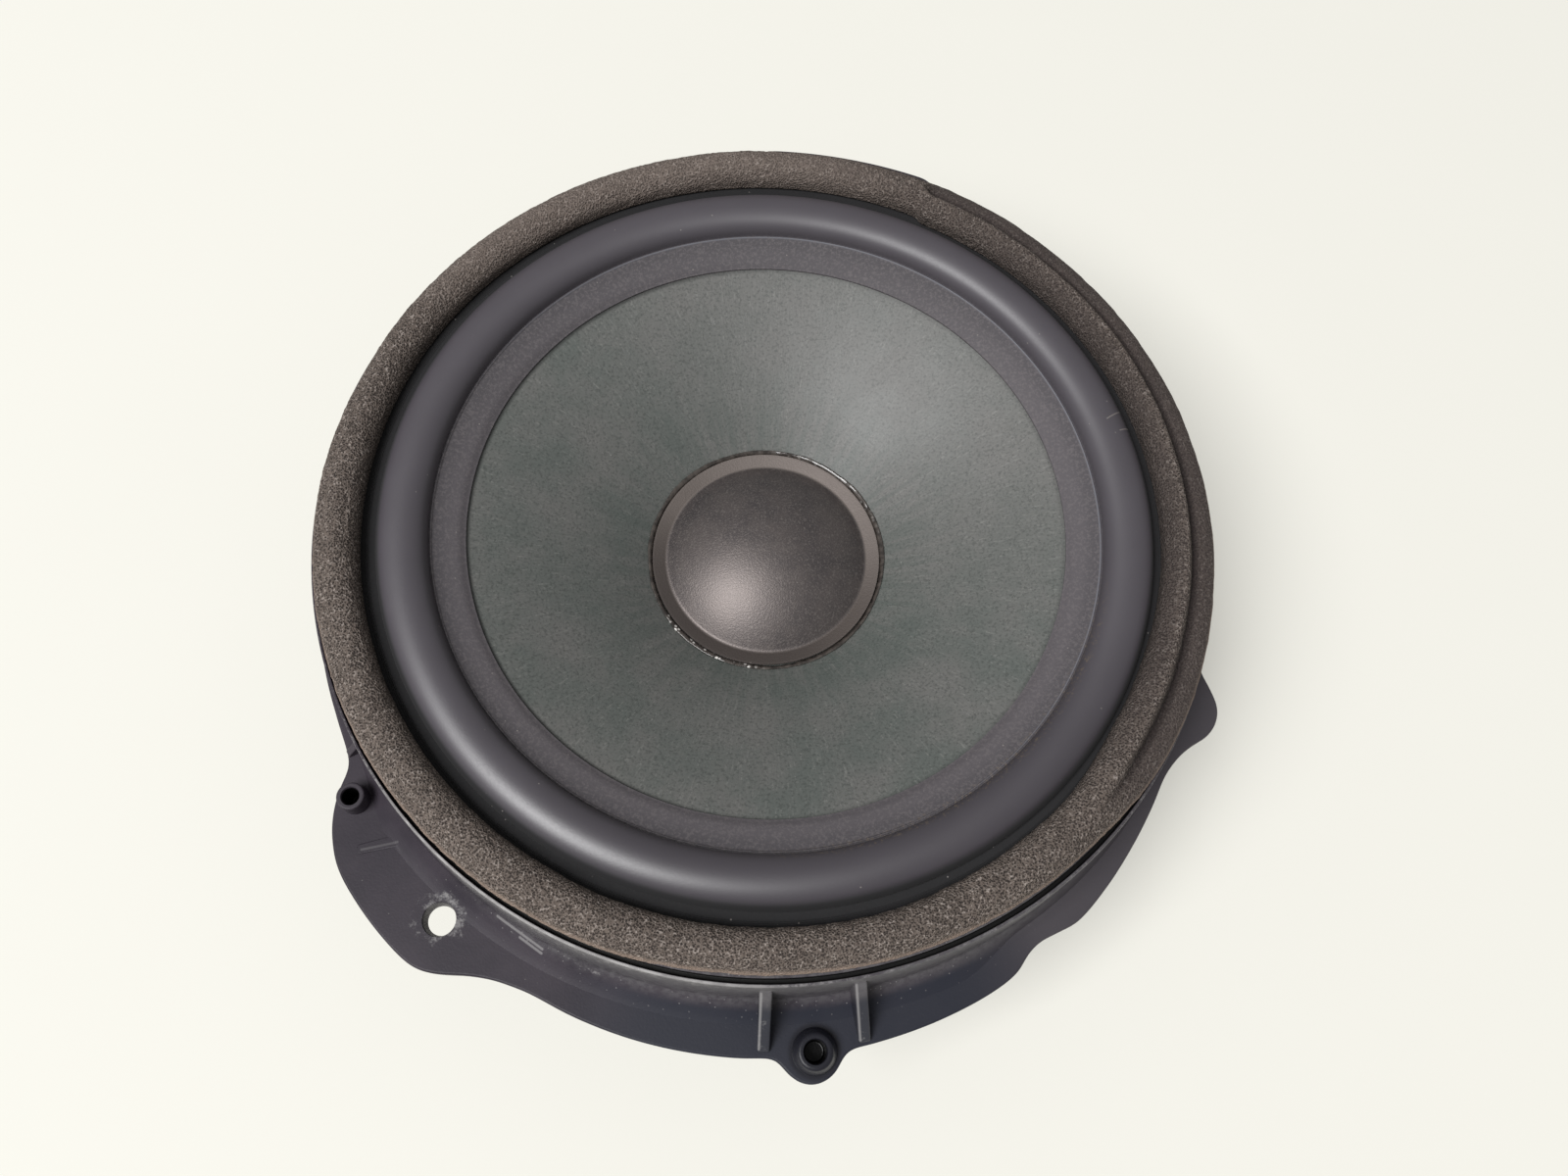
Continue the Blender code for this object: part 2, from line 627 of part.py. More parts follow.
def make_seals(parent):
    """Crowned foam gasket on the front rim and a flat foam seal behind the flange."""
    foam = material("gasket_foam", (0.105, 0.088, 0.075), 0.95)
    outer = RIM_R - FOAM_SET_IN
    inner = outer - FOAM_WIDTH
    base = LIP_Z + GLUE_LINE
    gasket = [(inner, base), (inner, base + 0.72 * FOAM_HEIGHT)]
    for across, height in ((0.18, 0.96), (0.42, 1.0), (0.72, 0.86), (0.93, 0.55)):
        gasket.append((inner + across * FOAM_WIDTH, base + height * FOAM_HEIGHT))
    gasket += [(outer, base + 0.25 * FOAM_HEIGHT), (outer, base)]
    finish("foam_gasket", turned(gasket, FINE), foam, parent)
    dark = material("seal_foam", (0.030, 0.030, 0.032), 0.95)
    top = FLANGE_Z - FLANGE_T - GLUE_LINE
    seal = box(SKIRT_R - WALL / 2.0 + FIT, SKIRT_R - WALL / 2.0 + FIT + SEAL_WIDTH, top - SEAL_T, top)
    finish("rear_seal", turned(seal, FINE), dark, parent)


def make_connector(parent):
    """Socket housing under the basket's web, its two blades, and the leads from blades to cone."""
    nylon = material("connector_nylon", (0.020, 0.020, 0.021), 0.50)
    tin = material("tinned_brass", (0.62, 0.58, 0.50), 0.30, 1.0)
    braid = material("tinsel_braid", (0.50, 0.36, 0.22), 0.45, 0.7)
    low = HOUSING_TOP - HOUSING_HEIGHT
    inside = HOUSING_R - HOUSING_DEPTH / 2.0
    outside = HOUSING_R + HOUSING_DEPTH / 2.0
    bm = bmesh.new()
    blade(bm, box(inside, outside, low, HOUSING_TOP), HOUSING_WIDTH, CONNECTOR)
    housing = finish("connector_housing", bm, nylon, parent)
    cut = bmesh.new()
    roof = HOUSING_TOP - HOUSING_ROOF
    socket = box(inside + HOUSING_WALL, outside - HOUSING_WALL, low - HOUSING_WALL, roof)
    blade(cut, socket, HOUSING_WIDTH - 2.0 * HOUSING_WALL, CONNECTOR)
    combine(housing, finish("socket_cutter", cut), "DIFFERENCE")
    slots = bmesh.new()
    tip = HOUSING_TOP + FIT + WEB_T + BLADE_RISE
    pairs = (("positive", BLADE_WIDE, 1.0), ("negative", BLADE_NARROW, -1.0))
    for name, width, side in pairs:
        offset = side * BLADE_SPACING / 2.0
        slot = box(HOUSING_R - BLADE_T / 2.0 - FIT, HOUSING_R + BLADE_T / 2.0 + FIT, low, HOUSING_TOP + FIT)
        blade(slots, slot, width + 2.0 * FIT, CONNECTOR, offset)
        strip = bmesh.new()
        outline = box(HOUSING_R - BLADE_T / 2.0, HOUSING_R + BLADE_T / 2.0, low + BLADE_RECESS, tip)
        blade(strip, outline, width, CONNECTOR, offset)
        finish(f"terminal_{name}", strip, tin, parent)
        make_lead(f"lead_{name}", offset, tip - 2.0 * LEAD_R, braid, parent)
    combine(housing, finish("blade_slots", slots), "DIFFERENCE")


def make_lead(name, offset, height, surface, parent):
    """A flexible lead that runs level from a blade through a window, then drops to the cone's neck."""
    start_r = HOUSING_R - BLADE_T / 2.0 - LEAD_R - FIT
    end_r = NECK_R + SPIDER_NECK + LEAD_R
    end_z = cone_height(end_r) - CONE_T - 2.0 * LEAD_R - 2.0 * FIT
    turn = Matrix.Rotation(math.radians(CONNECTOR), 3, "Z")
    route = bpy.data.curves.new(name, "CURVE")
    route.dimensions = "3D"
    route.bevel_depth = LEAD_R
    route.bevel_resolution = 1
    route.use_fill_caps = True
    spline = route.splines.new("POLY")
    stations = between(0.0, 1.0, 13)
    spline.points.add(len(stations) - 1)
    for point, along in zip(spline.points, stations):
        radius = start_r + (end_r - start_r) * along
        drop = (end_z - height) * ease((along - LEAD_LEVEL) / (1.0 - LEAD_LEVEL))
        point.co = (*(turn @ bm_point(radius, offset, height + drop)), 1.0)
    route.materials.append(surface)
    made = bpy.data.objects.new(name, route)
    made.parent = parent
    bpy.context.scene.collection.objects.link(made)


clear_scene()
frame = empty("frame_axis")
moving = empty("cone_axis", frame)
make_basket(frame)
make_motor(frame)
make_suspension(frame)
make_seals(frame)
make_connector(frame)
make_coil(moving)
make_cone(moving)
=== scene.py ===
# %% [markdown]
# A car-door woofer lies face up on its motor. Its imported solids are loaded first and stay fixed: every
# piece made below takes its place from them. The dressed speaker has to fill the same room as the solids
# do.

import bmesh
import bpy
import numpy as np
from mathutils import Matrix, Vector


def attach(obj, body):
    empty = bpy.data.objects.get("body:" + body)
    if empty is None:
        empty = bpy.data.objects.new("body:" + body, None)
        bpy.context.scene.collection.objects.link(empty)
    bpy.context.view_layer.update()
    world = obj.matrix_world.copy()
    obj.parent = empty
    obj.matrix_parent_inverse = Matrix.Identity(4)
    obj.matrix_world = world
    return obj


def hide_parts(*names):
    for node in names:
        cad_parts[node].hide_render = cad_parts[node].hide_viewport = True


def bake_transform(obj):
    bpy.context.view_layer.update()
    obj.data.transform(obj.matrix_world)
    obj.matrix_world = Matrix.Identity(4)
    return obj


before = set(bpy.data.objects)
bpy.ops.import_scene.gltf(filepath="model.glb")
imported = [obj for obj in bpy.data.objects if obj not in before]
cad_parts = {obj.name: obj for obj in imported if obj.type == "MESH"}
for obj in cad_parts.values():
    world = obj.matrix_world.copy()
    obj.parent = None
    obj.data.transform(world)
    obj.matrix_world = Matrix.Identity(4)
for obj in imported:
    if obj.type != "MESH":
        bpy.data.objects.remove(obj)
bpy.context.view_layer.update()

MM = 0.001
TURN = 2.0 * np.pi

# %% [markdown]
# The photograph seems taken with a short lens from above and a little in front. A camera is a lens, a place
# and three directions, so its matrix can be written straight from them: right, up and backwards are the
# columns, and the place is the last one.

# %% Camera
EYE = Vector((-0.015015, -0.092107, 0.27302))
RIGHT = Vector((0.994695, -0.092673, 0.044650))
UP = Vector((0.070833, 0.931799, 0.355996))
FORWARD = Vector((0.074596, 0.350945, -0.933420))


def show(name, data):
    """A new object in the scene for a camera, mesh or lamp."""
    made = bpy.data.objects.new(name, data)
    bpy.context.scene.collection.objects.link(made)
    return made


camera = show("camera", bpy.data.cameras.new("camera"))
camera.data.lens = 27.0
camera.data.sensor_width = 36.0
camera.data.clip_start = 0.01
columns = [RIGHT, UP, -FORWARD]
camera.matrix_world = Matrix.Translation(EYE) @ Matrix(columns).transposed().to_4x4()
bpy.context.scene.camera = camera
print("camera height in mm:", round(EYE.z / MM))

# %% [markdown]
# Nearly every piece of a loudspeaker is a grid of points: rows run along a section, columns run round the
# axis. One helper turns such a grid into a mesh. It works out the volume inside the faces and turns them
# over if it is negative, so faces point outwards, and it merges rows that shrink to a point.

# %% Grids into meshes
def grid_faces(rows, cols, ring):
    """Join each point to the next in its column and row; columns always close, rows close in a ring."""
    row, col = np.meshgrid(np.arange(rows if ring else rows - 1), np.arange(cols), indexing="ij")
    down, across = (row + 1) % rows, (col + 1) % cols
    corners = [row * cols + col, row * cols + across, down * cols + across, down * cols + col]
    return np.stack(corners, -1).reshape(-1, 4)


def volume(points, faces):
    """Signed volume inside the faces: a sixth of the sum of triple products of their triangles."""
    a, b, c, d = (points[faces[:, k]] for k in range(4))
    return np.einsum("ij,ij->", a, np.cross(b, c) + np.cross(c, d)) / 6.0


def piece(name, points, ring=False, crease=38.0):
    """A smooth object from one grid of points in millimetres, or from a stack of equal grids."""
    shells = np.asarray(points, float)
    shells = shells.reshape(-1, *shells.shape[-3:]) * MM
    count, rows, cols = shells.shape[:3]
    faces = grid_faces(rows, cols, ring)
    if volume(shells[0].reshape(-1, 3), faces) < 0.0:
        faces = faces[:, ::-1]
    faces = faces[None] + rows * cols * np.arange(count)[:, None, None]
    mesh = bpy.data.meshes.new(name)
    mesh.vertices.add(count * rows * cols)
    mesh.vertices.foreach_set("co", shells.ravel())
    mesh.loops.add(faces.size)
    mesh.loops.foreach_set("vertex_index", faces.ravel())
    mesh.polygons.add(faces.size // 4)
    mesh.polygons.foreach_set("loop_start", np.arange(0, faces.size, 4))
    mesh.update(calc_edges=True)
    merge(mesh)
    soften(mesh, crease)
    return show(name, mesh)


def merge(mesh):
    """Merge points that lie on each other, which closes the poles."""
    work = bmesh.new()
    work.from_mesh(mesh)
    bmesh.ops.remove_doubles(work, verts=work.verts, dist=1e-7)
    work.to_mesh(mesh)
    work.free()


def soften(mesh, crease):
    """Smooth shading, but sharp where two faces meet at more than the crease angle in degrees."""
    mesh.shade_smooth()
    mesh.set_sharp_from_angle(angle=np.radians(crease))


def place_of(made):
    """The points of a finished mesh in millimetres, as one array."""
    flat = np.empty(len(made.data.vertices) * 3, np.float32)
    made.data.vertices.foreach_get("co", flat)
    return flat.reshape(-1, 3) / MM


def mark(made, name, values):
    """Store one number for each point, for a material to read."""
    made.data.attributes.new(name, "FLOAT", "POINT").data.foreach_set("value", np.float32(values).ravel())


def keep_rest(made):
    """Store where each point lies at rest, so that a pattern stays put on a piece that bends."""
    rest = made.data.attributes.new("rest", "FLOAT_VECTOR", "POINT")
    rest.data.foreach_set("vector", np.float32(place_of(made) * MM).ravel())


print("grid helpers ready")

# %% [markdown]
# Moulded, pressed and turned parts have no knife edges. A section is written as a few corners, and each
# corner is replaced by a short curve. Two guard points beside the curve keep the flat faces flat when the
# shading is smoothed. Foam and glue are never quite even, so there is also a field of smooth random lumps.

# %% Sections and lumps
def ease(value):
    """Smooth step from 0 to 1."""
    value = np.clip(value, 0.0, 1.0)
    return value * value * (3.0 - 2.0 * value)


def near(value, middle, width):
    """One at the middle, fading to none over the width."""
    return np.exp(-(((value - middle) / width) ** 2))


def band(value, start, rise, end, fall):
    """One between two limits: it rises after the first and falls before the second."""
    return ease((value - start) / rise) * ease((end - value) / fall)


def rounded(corners, radius, steps=4, ends=False):
    """Round an outline: from a point set back on one side to one on the other runs a quadratic curve."""
    here = np.asarray(corners, float)
    sides = []
    for other in (np.roll(here, 1, 0), np.roll(here, -1, 0)):
        reach = other - here
        length = np.linalg.norm(reach, axis=1, keepdims=True)
        back = np.minimum(np.broadcast_to(radius, len(here))[:, None], 0.4 * length)
        sides.append((here + reach / length * back, here + reach / length * back * 1.2))
    (start, guard), (end, after) = sides
    t = np.linspace(0.0, 1.0, steps + 1)[:, None, None]
    curve = (1.0 - t) ** 2 * start + 2.0 * t * (1.0 - t) * here + t ** 2 * end
    line = np.concatenate([guard[None], curve, after[None]]).transpose(1, 0, 2)
    if ends:
        return np.concatenate([here[:1], line[1:-1].reshape(-1, 2), here[-1:]])
    return line.reshape(-1, 2)


def even_steps(loop, count):
    """Walk a closed line in so many equal steps."""
    loop = np.concatenate([loop, loop[:1]])
    along = np.concatenate([[0.0], np.cumsum(np.linalg.norm(np.diff(loop, axis=0), axis=1))])
    want = np.linspace(0.0, along[-1], count, endpoint=False)
    return np.stack([np.interp(want, along, loop[:, k]) for k in (0, 1)], 1)


def turned(section, cols, centre=(0.0, 0.0)):
    """Carry each (radius, height) of a section once round an upright axis."""
    angle = TURN * np.arange(cols) / cols
    radius, height = section[:, 0, None], section[:, 1, None]
    x, y = centre[0] + radius * np.cos(angle), centre[1] + radius * np.sin(angle)
    return np.stack([x, y, height + 0.0 * angle], -1)


def sheet(front, thickness, thin=3):
    """Close a line of (radius, height) points into a sheet by adding its back, a thickness below it."""
    along = np.gradient(front, axis=0)
    along /= np.linalg.norm(along, axis=1, keepdims=True)
    back = front + thickness * np.stack([along[:, 1], -along[:, 0]], 1)
    back[:, 0] = np.maximum(back[:, 0], 0.0)
    back[0, 0] = front[0, 0]
    keep = np.unique(np.append(np.arange(0, len(back), thin), len(back) - 1))
    return np.concatenate([front, back[keep][::-1]])


def round_of(points):
    """Radius and angle in degrees of points seen along the axis."""
    x, y = points[..., 0], points[..., 1]
    return np.hypot(x, y), np.degrees(np.arctan2(y, x)) % 360.0


def polar(radius, degrees):
    """A radius and an angle in degrees as (x, y)."""
    return np.stack([radius * np.cos(np.radians(degrees)), radius * np.sin(np.radians(degrees))], -1)


def lumps(points, size, seed):
    """Random lumps from -1 to 1: a number is drawn at each corner of a lattice and blended in between."""
    cell = np.asarray(points, float) / size
    low = np.floor(cell)
    part = ease(cell - low)
    total = 0.0
    for corner in np.ndindex(2, 2, 2):
        spot = np.sin((low + corner) @ (127.1, 311.7, 74.7) + 17.3 * seed) * 43758.5453
        share = np.prod(np.where(corner, part, 1.0 - part), axis=-1)
        total = total + share * (spot - np.floor(spot))
    return 2.0 * total - 1.0


print("a rounded square has", len(rounded([(0, 0), (1, 0), (1, 1), (0, 1)], 0.2)), "points")

# %% [markdown]
# A finish is a tree of shader nodes. The helpers below add one node in one line and link whatever socket
# they are given. Patterns read the piece's own coordinates, so they stay on it when it moves. Sizes are in
# millimetres, because grain and weave are easiest to judge that way.

# %% Shader helpers
def add(tree, kind, inputs=None, **settings):
    """Add a shader node, set its options, and link or fill its inputs."""
    made = tree.nodes.new("ShaderNode" + kind)
    for key, value in settings.items():
        setattr(made, key, value)
    for key, value in (inputs or {}).items():
        if isinstance(value, bpy.types.NodeSocket):
            tree.links.new(value, made.inputs[key])
        else:
            made.inputs[key].default_value = value
    return made


def maths(tree, operation, *values):
    """One sum on numbers, from left to right."""
    total = values[0]
    for value in values[1:] or (0.0,):
        total = add(tree, "Math", {0: total, 1: value}, operation=operation).outputs[0]
    return total


def times(tree, *values):
    """Product of numbers."""
    return maths(tree, "MULTIPLY", *values)


def plus(tree, *values):
    """Total of numbers."""
    return maths(tree, "ADD", *values)


def vectors(tree, operation, first, second=(0.0, 0.0, 0.0), output="Vector"):
    """One sum on two vectors."""
    return add(tree, "VectorMath", {0: first, 1: second}, operation=operation).outputs[output]


def texture(tree, kind, vector, size, inputs=None, **settings):
    """A texture with features of about that size, which is a number or a socket; gives its outputs."""
    linked = isinstance(size, bpy.types.NodeSocket)
    scale = maths(tree, "DIVIDE", 1.0 / MM, size) if linked else 1.0 / (size * MM)
    return add(tree, kind, {"Vector": vector, "Scale": scale, **(inputs or {})}, **settings).outputs


def noise(tree, vector, size, detail=3.0, rough=0.5):
    """Cloudy value from 0 to 1."""
    return texture(tree, "TexNoise", vector, size, {"Detail": detail, "Roughness": rough})[0]


def cells(tree, vector, size, feature="F1"):
    """Voronoi cells."""
    return texture(tree, "TexVoronoi", vector, size, feature=feature)


def span(tree, value, low, high, to_low=0.0, to_high=1.0):
    """Stretch part of a range smoothly over another."""
    inputs = {0: value, 1: low, 2: high, 3: to_low, 4: to_high}
    return add(tree, "MapRange", inputs, interpolation_type="SMOOTHSTEP").outputs[0]


def tint(tree, share, first, second):
    """Mix two colours."""
    as_colour = [c if isinstance(c, bpy.types.NodeSocket) else (*c, 1.0) for c in (first, second)]
    return add(tree, "Mix", {0: share, 6: as_colour[0], 7: as_colour[1]}, data_type="RGBA").outputs[2]


def layered(tree, colour, *layers):
    """Lay colours over a colour in turn; a layer is a mask, the most that it covers, and its colour."""
    for mask, most, over in layers:
        colour = tint(tree, times(tree, mask, most), colour, over)
    return colour


def relief(tree, height, depth, strength):
    """Bump that height from 0 to 1 raises by the depth in millimetres."""
    return add(tree, "Bump", {"Height": height, "Distance": depth * MM, "Strength": strength}).outputs[0]


def stored(tree, name, output="Fac"):
    """A number or place that was stored on the mesh."""
    return add(tree, "Attribute", attribute_name=name).outputs[output]


def own_place(tree, bends=False):
    """The piece's own coordinates; a piece that bends uses its place at rest."""
    return stored(tree, "rest", "Vector") if bends else add(tree, "TexCoord").outputs["Object"]


def towards(tree, around, degrees, half):
    """One near an angle round the axis, fading to none so many degrees to either side."""
    along = vectors(tree, "DOT_PRODUCT", around, (*polar(1.0, degrees), 0.0), "Value")
    return span(tree, along, np.cos(np.radians(half)), np.cos(np.radians(0.5 * half)))


def group(name, inputs, outputs):
    """An empty node group: its tree, the sockets of its inputs and the sockets of its outputs."""
    tree = bpy.data.node_groups.new(name, "ShaderNodeTree")
    for direction, sockets in (("INPUT", inputs), ("OUTPUT", outputs)):
        for label, kind in sockets.items():
            tree.interface.new_socket(label, in_out=direction, socket_type="NodeSocket" + kind)
    return tree, tree.nodes.new("NodeGroupInput").outputs, tree.nodes.new("NodeGroupOutput").inputs


def effect(tree, made, **inputs):
    """Put a shared node group into a material with its own values; gives its outputs."""
    return add(tree, "Group", inputs, node_tree=made).outputs


def finish_of(name, **fixed):
    """A new material: its node tree and its shader, with the values that are the same all over."""
    made = bpy.data.materials.new(name)
    made.use_nodes = True
    shader = made.node_tree.nodes["Principled BSDF"]
    for label, value in fixed.items():
        shader.inputs[label.replace("_", " ")].default_value = value
    return made, made.node_tree, shader


def wire(tree, shader, **sockets):
    """Link changing values to the shader."""
    for label, socket in sockets.items():
        tree.links.new(socket, shader.inputs[label.replace("_", " ")])


def dress(made, material):
    """Give a piece its finish."""
    made.data.materials.clear()
    made.data.materials.append(material)


print("shader helpers ready")

# %% [markdown]
# Some effects turn up in several finishes: the distance from the axis, streaks that run outwards, specks of
# dust, scratches, open foam cells, fine grain and rubbed patches. Each is built once as a node group and gets
# its own values in each material. A group hands over only numbers that change over the surface.

# %% Shared effects
def make_round_place():
    """Radius and height in millimetres, and the direction from the axis as a vector of length one."""
    tree, given, out = group(
        "round_place", {"Vector": "Vector"}, {"Radius": "Float", "Height": "Float", "Around": "Vector"}
    )
    flat = vectors(tree, "MULTIPLY", given[0], (1.0 / MM, 1.0 / MM, 0.0))
    tree.links.new(vectors(tree, "LENGTH", flat, output="Value"), out["Radius"])
    tree.links.new(vectors(tree, "NORMALIZE", flat), out["Around"])
    upright = add(tree, "SeparateXYZ", {0: given[0]}).outputs[2]
    tree.links.new(maths(tree, "DIVIDE", upright, MM), out["Height"])
    return tree


round_place = make_round_place()


def make_streaks():
    """Noise on a cylinder: so many streaks round the axis, each so many millimetres long."""
    tree, given, out = group(
        "streaks", {"Vector": "Vector", "Count": "Float", "Length": "Float"}, {"Value": "Float"}
    )
    where = effect(tree, round_place, Vector=given["Vector"])
    wide = maths(tree, "DIVIDE", given["Count"], TURN)
    circle = add(tree, "VectorMath", {0: where["Around"], "Scale": wide}, operation="SCALE").outputs[0]
    outwards = maths(tree, "DIVIDE", where["Radius"], given["Length"])
    both = vectors(tree, "ADD", circle, add(tree, "CombineXYZ", {2: outwards}).outputs[0])
    value = add(tree, "TexNoise", {"Vector": both, "Scale": 1.0, "Detail": 3.0, "Roughness": 0.6}).outputs[0]
    tree.links.new(value, out["Value"])
    return tree


streaks = make_streaks()


def make_specks():
    """Dust: a share of the cells of a lattice carries one speck, cut out by its distance from the middle."""
    inputs = {"Vector": "Vector", "Spacing": "Float", "Share": "Float", "Size": "Float"}
    tree, given, out = group("dust_specks", inputs, {"Mask": "Float"})
    lattice = cells(tree, given["Vector"], given["Spacing"])
    outside = span(tree, lattice["Distance"], times(tree, given["Size"], 0.5), given["Size"])
    chance = add(tree, "SeparateColor", {0: lattice["Color"]}).outputs[0]
    drawn = maths(tree, "GREATER_THAN", given["Share"], chance)
    tree.links.new(times(tree, maths(tree, "SUBTRACT", 1.0, outside), drawn), out["Mask"])
    return tree


dust_specks = make_specks()


def dusted(tree, place, spacing, share, size):
    """Mask of specks with their own spacing, share and size."""
    return effect(tree, dust_specks, Vector=place, Spacing=spacing, Share=share, Size=size)["Mask"]


def make_scratch():
    """A straight scratch seen from above: how near each place is to the line between two points."""
    inputs = {"Vector": "Vector", "From": "Vector", "To": "Vector", "Width": "Float"}
    tree, given, out = group("scratch", inputs, {"Mask": "Float"})
    flat = vectors(tree, "MULTIPLY", given["Vector"], (1.0, 1.0, 0.0))
    away = vectors(tree, "SUBTRACT", flat, given["From"])
    line = vectors(tree, "SUBTRACT", given["To"], given["From"])
    across = vectors(tree, "DOT_PRODUCT", away, line, "Value")
    whole = vectors(tree, "DOT_PRODUCT", line, line, "Value")
    share = add(tree, "Clamp", {0: maths(tree, "DIVIDE", across, whole)}).outputs[0]
    foot = add(tree, "VectorMath", {0: line, "Scale": share}, operation="SCALE").outputs[0]
    off = vectors(tree, "DISTANCE", away, foot, "Value")
    wide = times(tree, given["Width"], MM)
    tree.links.new(span(tree, off, wide, times(tree, wide, 0.3)), out["Mask"])
    return tree


scratch = make_scratch()


def scratched(tree, place, start, end, width):
    """Mask of one scratch between two places, each a radius and an angle."""
    ends = [(*polar(*spot) * MM, 0.0) for spot in (start, end)]
    return effect(tree, scratch, Vector=place, From=ends[0], To=ends[1], Width=width)["Mask"]


def make_open_cells():
    """Foam: bubbles of that size leave pores, darkened with painted shade, and a few struts get a painted
    highlight.
    """
    outputs = {"Height": "Float", "PoreShade": "Float", "Glint": "Float"}
    tree, given, out = group("open_cells", {"Vector": "Vector", "Size": "Float"}, outputs)
    bubbles = cells(tree, given["Vector"], given["Size"])
    fine = noise(tree, given["Vector"], times(tree, given["Size"], 0.9), 2.0)
    mixed = plus(tree, bubbles["Distance"], maths(tree, "SUBTRACT", fine, 0.5))
    tree.links.new(mixed, out["Height"])
    tree.links.new(span(tree, mixed, 0.56, 0.24), out["PoreShade"])
    chance = add(tree, "SeparateColor", {0: bubbles["Color"]}).outputs[1]
    lit = times(tree, span(tree, mixed, 0.5, 0.78), maths(tree, "GREATER_THAN", chance, 0.66))
    tree.links.new(lit, out["Glint"])
    return tree


open_cells = make_open_cells()


def make_grain():
    """Fine grain: small cells and smaller noise on top of each other."""
    tree, given, out = group("fine_grain", {"Vector": "Vector", "Size": "Float"}, {"Value": "Float"})
    bumps = cells(tree, given["Vector"], given["Size"], "SMOOTH_F1")["Distance"]
    dust = noise(tree, given["Vector"], times(tree, given["Size"], 0.6))
    tree.links.new(times(tree, plus(tree, bumps, dust), 0.6), out["Value"])
    return tree


fine_grain = make_grain()


def grain_of(tree, place, size):
    """Fine grain of that size."""
    return effect(tree, fine_grain, Vector=place, Size=size)["Value"]


def make_rubbed():
    """Rubbed patches: noise passes where wear lifts it over a limit, and hair scratches join in."""
    inputs = {"Vector": "Vector", "Wear": "Float", "Size": "Float"}
    tree, given, out = group("rubbed", inputs, {"Mask": "Float"})
    patch = noise(tree, given["Vector"], given["Size"], 5.0, 0.65)
    hair = noise(tree, given["Vector"], times(tree, given["Size"], 0.22), 2.0)
    scraped = times(tree, maths(tree, "SUBTRACT", hair, 0.5), 0.5)
    raised = plus(tree, patch, maths(tree, "SUBTRACT", given["Wear"], 1.0), scraped)
    tree.links.new(span(tree, raised, 0.02, 0.42), out["Mask"])
    return tree


rubbed = make_rubbed()
print("shared effects:", sorted(made.name for made in bpy.data.node_groups))

# %% [markdown]
# The foam gasket is a closed ring of soft open-cell foam that seals the speaker against the door card. It
# stands highest near its middle and is undercut below its outer edge. On the right it has been pressed, so
# its outer part lies lower there, behind a groove. The ring is a closed section carried round the axis,
# pressed down by a rule of angle and radius, and then roughened with lumps.

# %% Foam gasket
FOAM_BASE = 68.5
FOAM_COLS, FOAM_ROWS = 960, 92
foam_corners = [
    (76.3, FOAM_BASE), (76.2, 71.2), (77.3, 73.2), (79.4, 74.3),
    (81.9, 73.7), (83.2, 72.0), (83.9, 70.2), (83.4, FOAM_BASE),
]


def signed(degrees):
    """An angle brought between -180 and 180 degrees."""
    return (degrees + 180.0) % 360.0 - 180.0


def foam_pressed(degrees):
    """How far the foam is pressed at an angle: fully over the right-hand third, with one abrupt end."""
    return band(signed(degrees), -54.0, 16.0, 61.6, 2.2)


def foam_ring():
    """The ring's points, and how far each lies on the pressed strip, at the cut edge and in the crease that
    gets painted shade.
    """
    section = even_steps(rounded(foam_corners, [0.3, 1.4, 1.2, 1.2, 1.4, 1.2, 1.0, 0.5]), FOAM_ROWS)
    grid = turned(section, FOAM_COLS)
    angle = np.degrees(TURN * np.arange(FOAM_COLS) / FOAM_COLS)
    radius, rise = section[:, 0, None], section[:, 1, None] - FOAM_BASE
    top = ease((rise - 1.0) / 2.0)
    pressed = foam_pressed(angle)[None]
    strip = pressed * ease((radius - 80.2) / 0.9)
    groove = 1.7 * pressed * near(radius, 80.6, 0.50) + 0.35 * (1.0 - pressed) * near(radius, 82.1, 0.45)
    sway = lumps(turned(np.array([[80.0, 0.0]]), FOAM_COLS), 16.0, 3)
    height = rise * (1.0 - 0.34 * strip) - top * groove + 0.16 * top * sway
    along = np.gradient(section, axis=0)
    along /= np.linalg.norm(along, axis=1, keepdims=True) + 1e-9
    rough = 0.08 * lumps(grid, 2.1, 1) + 0.09 * (1.0 - 0.6 * strip) * lumps(grid, 0.6, 2)
    rough = rough * ease(rise / 0.8)
    spread = 1.0 - rough * along[:, 1, None] / radius
    spread = spread + 0.0016 * lumps(grid, 11.0, 5) * ease(rise / 2.0)
    spread = spread + 1.2 * pressed * ease((radius - 81.2) / 2.2) * ease(rise / 1.0) / radius
    inward = 0.9 * band(signed(angle), -82.0, 24.0, -8.0, 24.0)
    spread = spread - inward * ease((79.5 - radius) / 3.0) / radius
    spread = spread - 1.1 * pressed * ease((81.6 - radius) / 2.0) / radius
    outward = 0.6 * band(angle, 150.0, 20.0, 258.0, 14.0)
    spread = spread + outward * ease((radius - 81.8) / 1.6) * ease(rise / 0.8) / radius
    points = grid * np.stack([spread, spread, np.ones_like(spread)], -1)
    points[..., 2] = FOAM_BASE + np.maximum(height + rough * along[:, 0, None], 0.0)
    edge = ease((radius - 82.7) / 0.9) * ease((3.8 - rise) / 1.6) + 0.0 * angle
    # Where painted shade darkens the crease on the pressed strip.
    crease = top * pressed * near(radius, 80.8, 0.55)
    return points, strip, edge, crease


foam_points, foam_strip, foam_edge, foam_crease_shade = foam_ring()
foam = piece("gasket", foam_points, ring=True, crease=75.0)
mark(foam, "pressed", foam_strip)
mark(foam, "edge", foam_edge)
mark(foam, "crease", foam_crease_shade)
print("gasket:", len(foam.data.polygons), "faces, crest at", round(float(foam_points[..., 2].max()), 2), "mm")
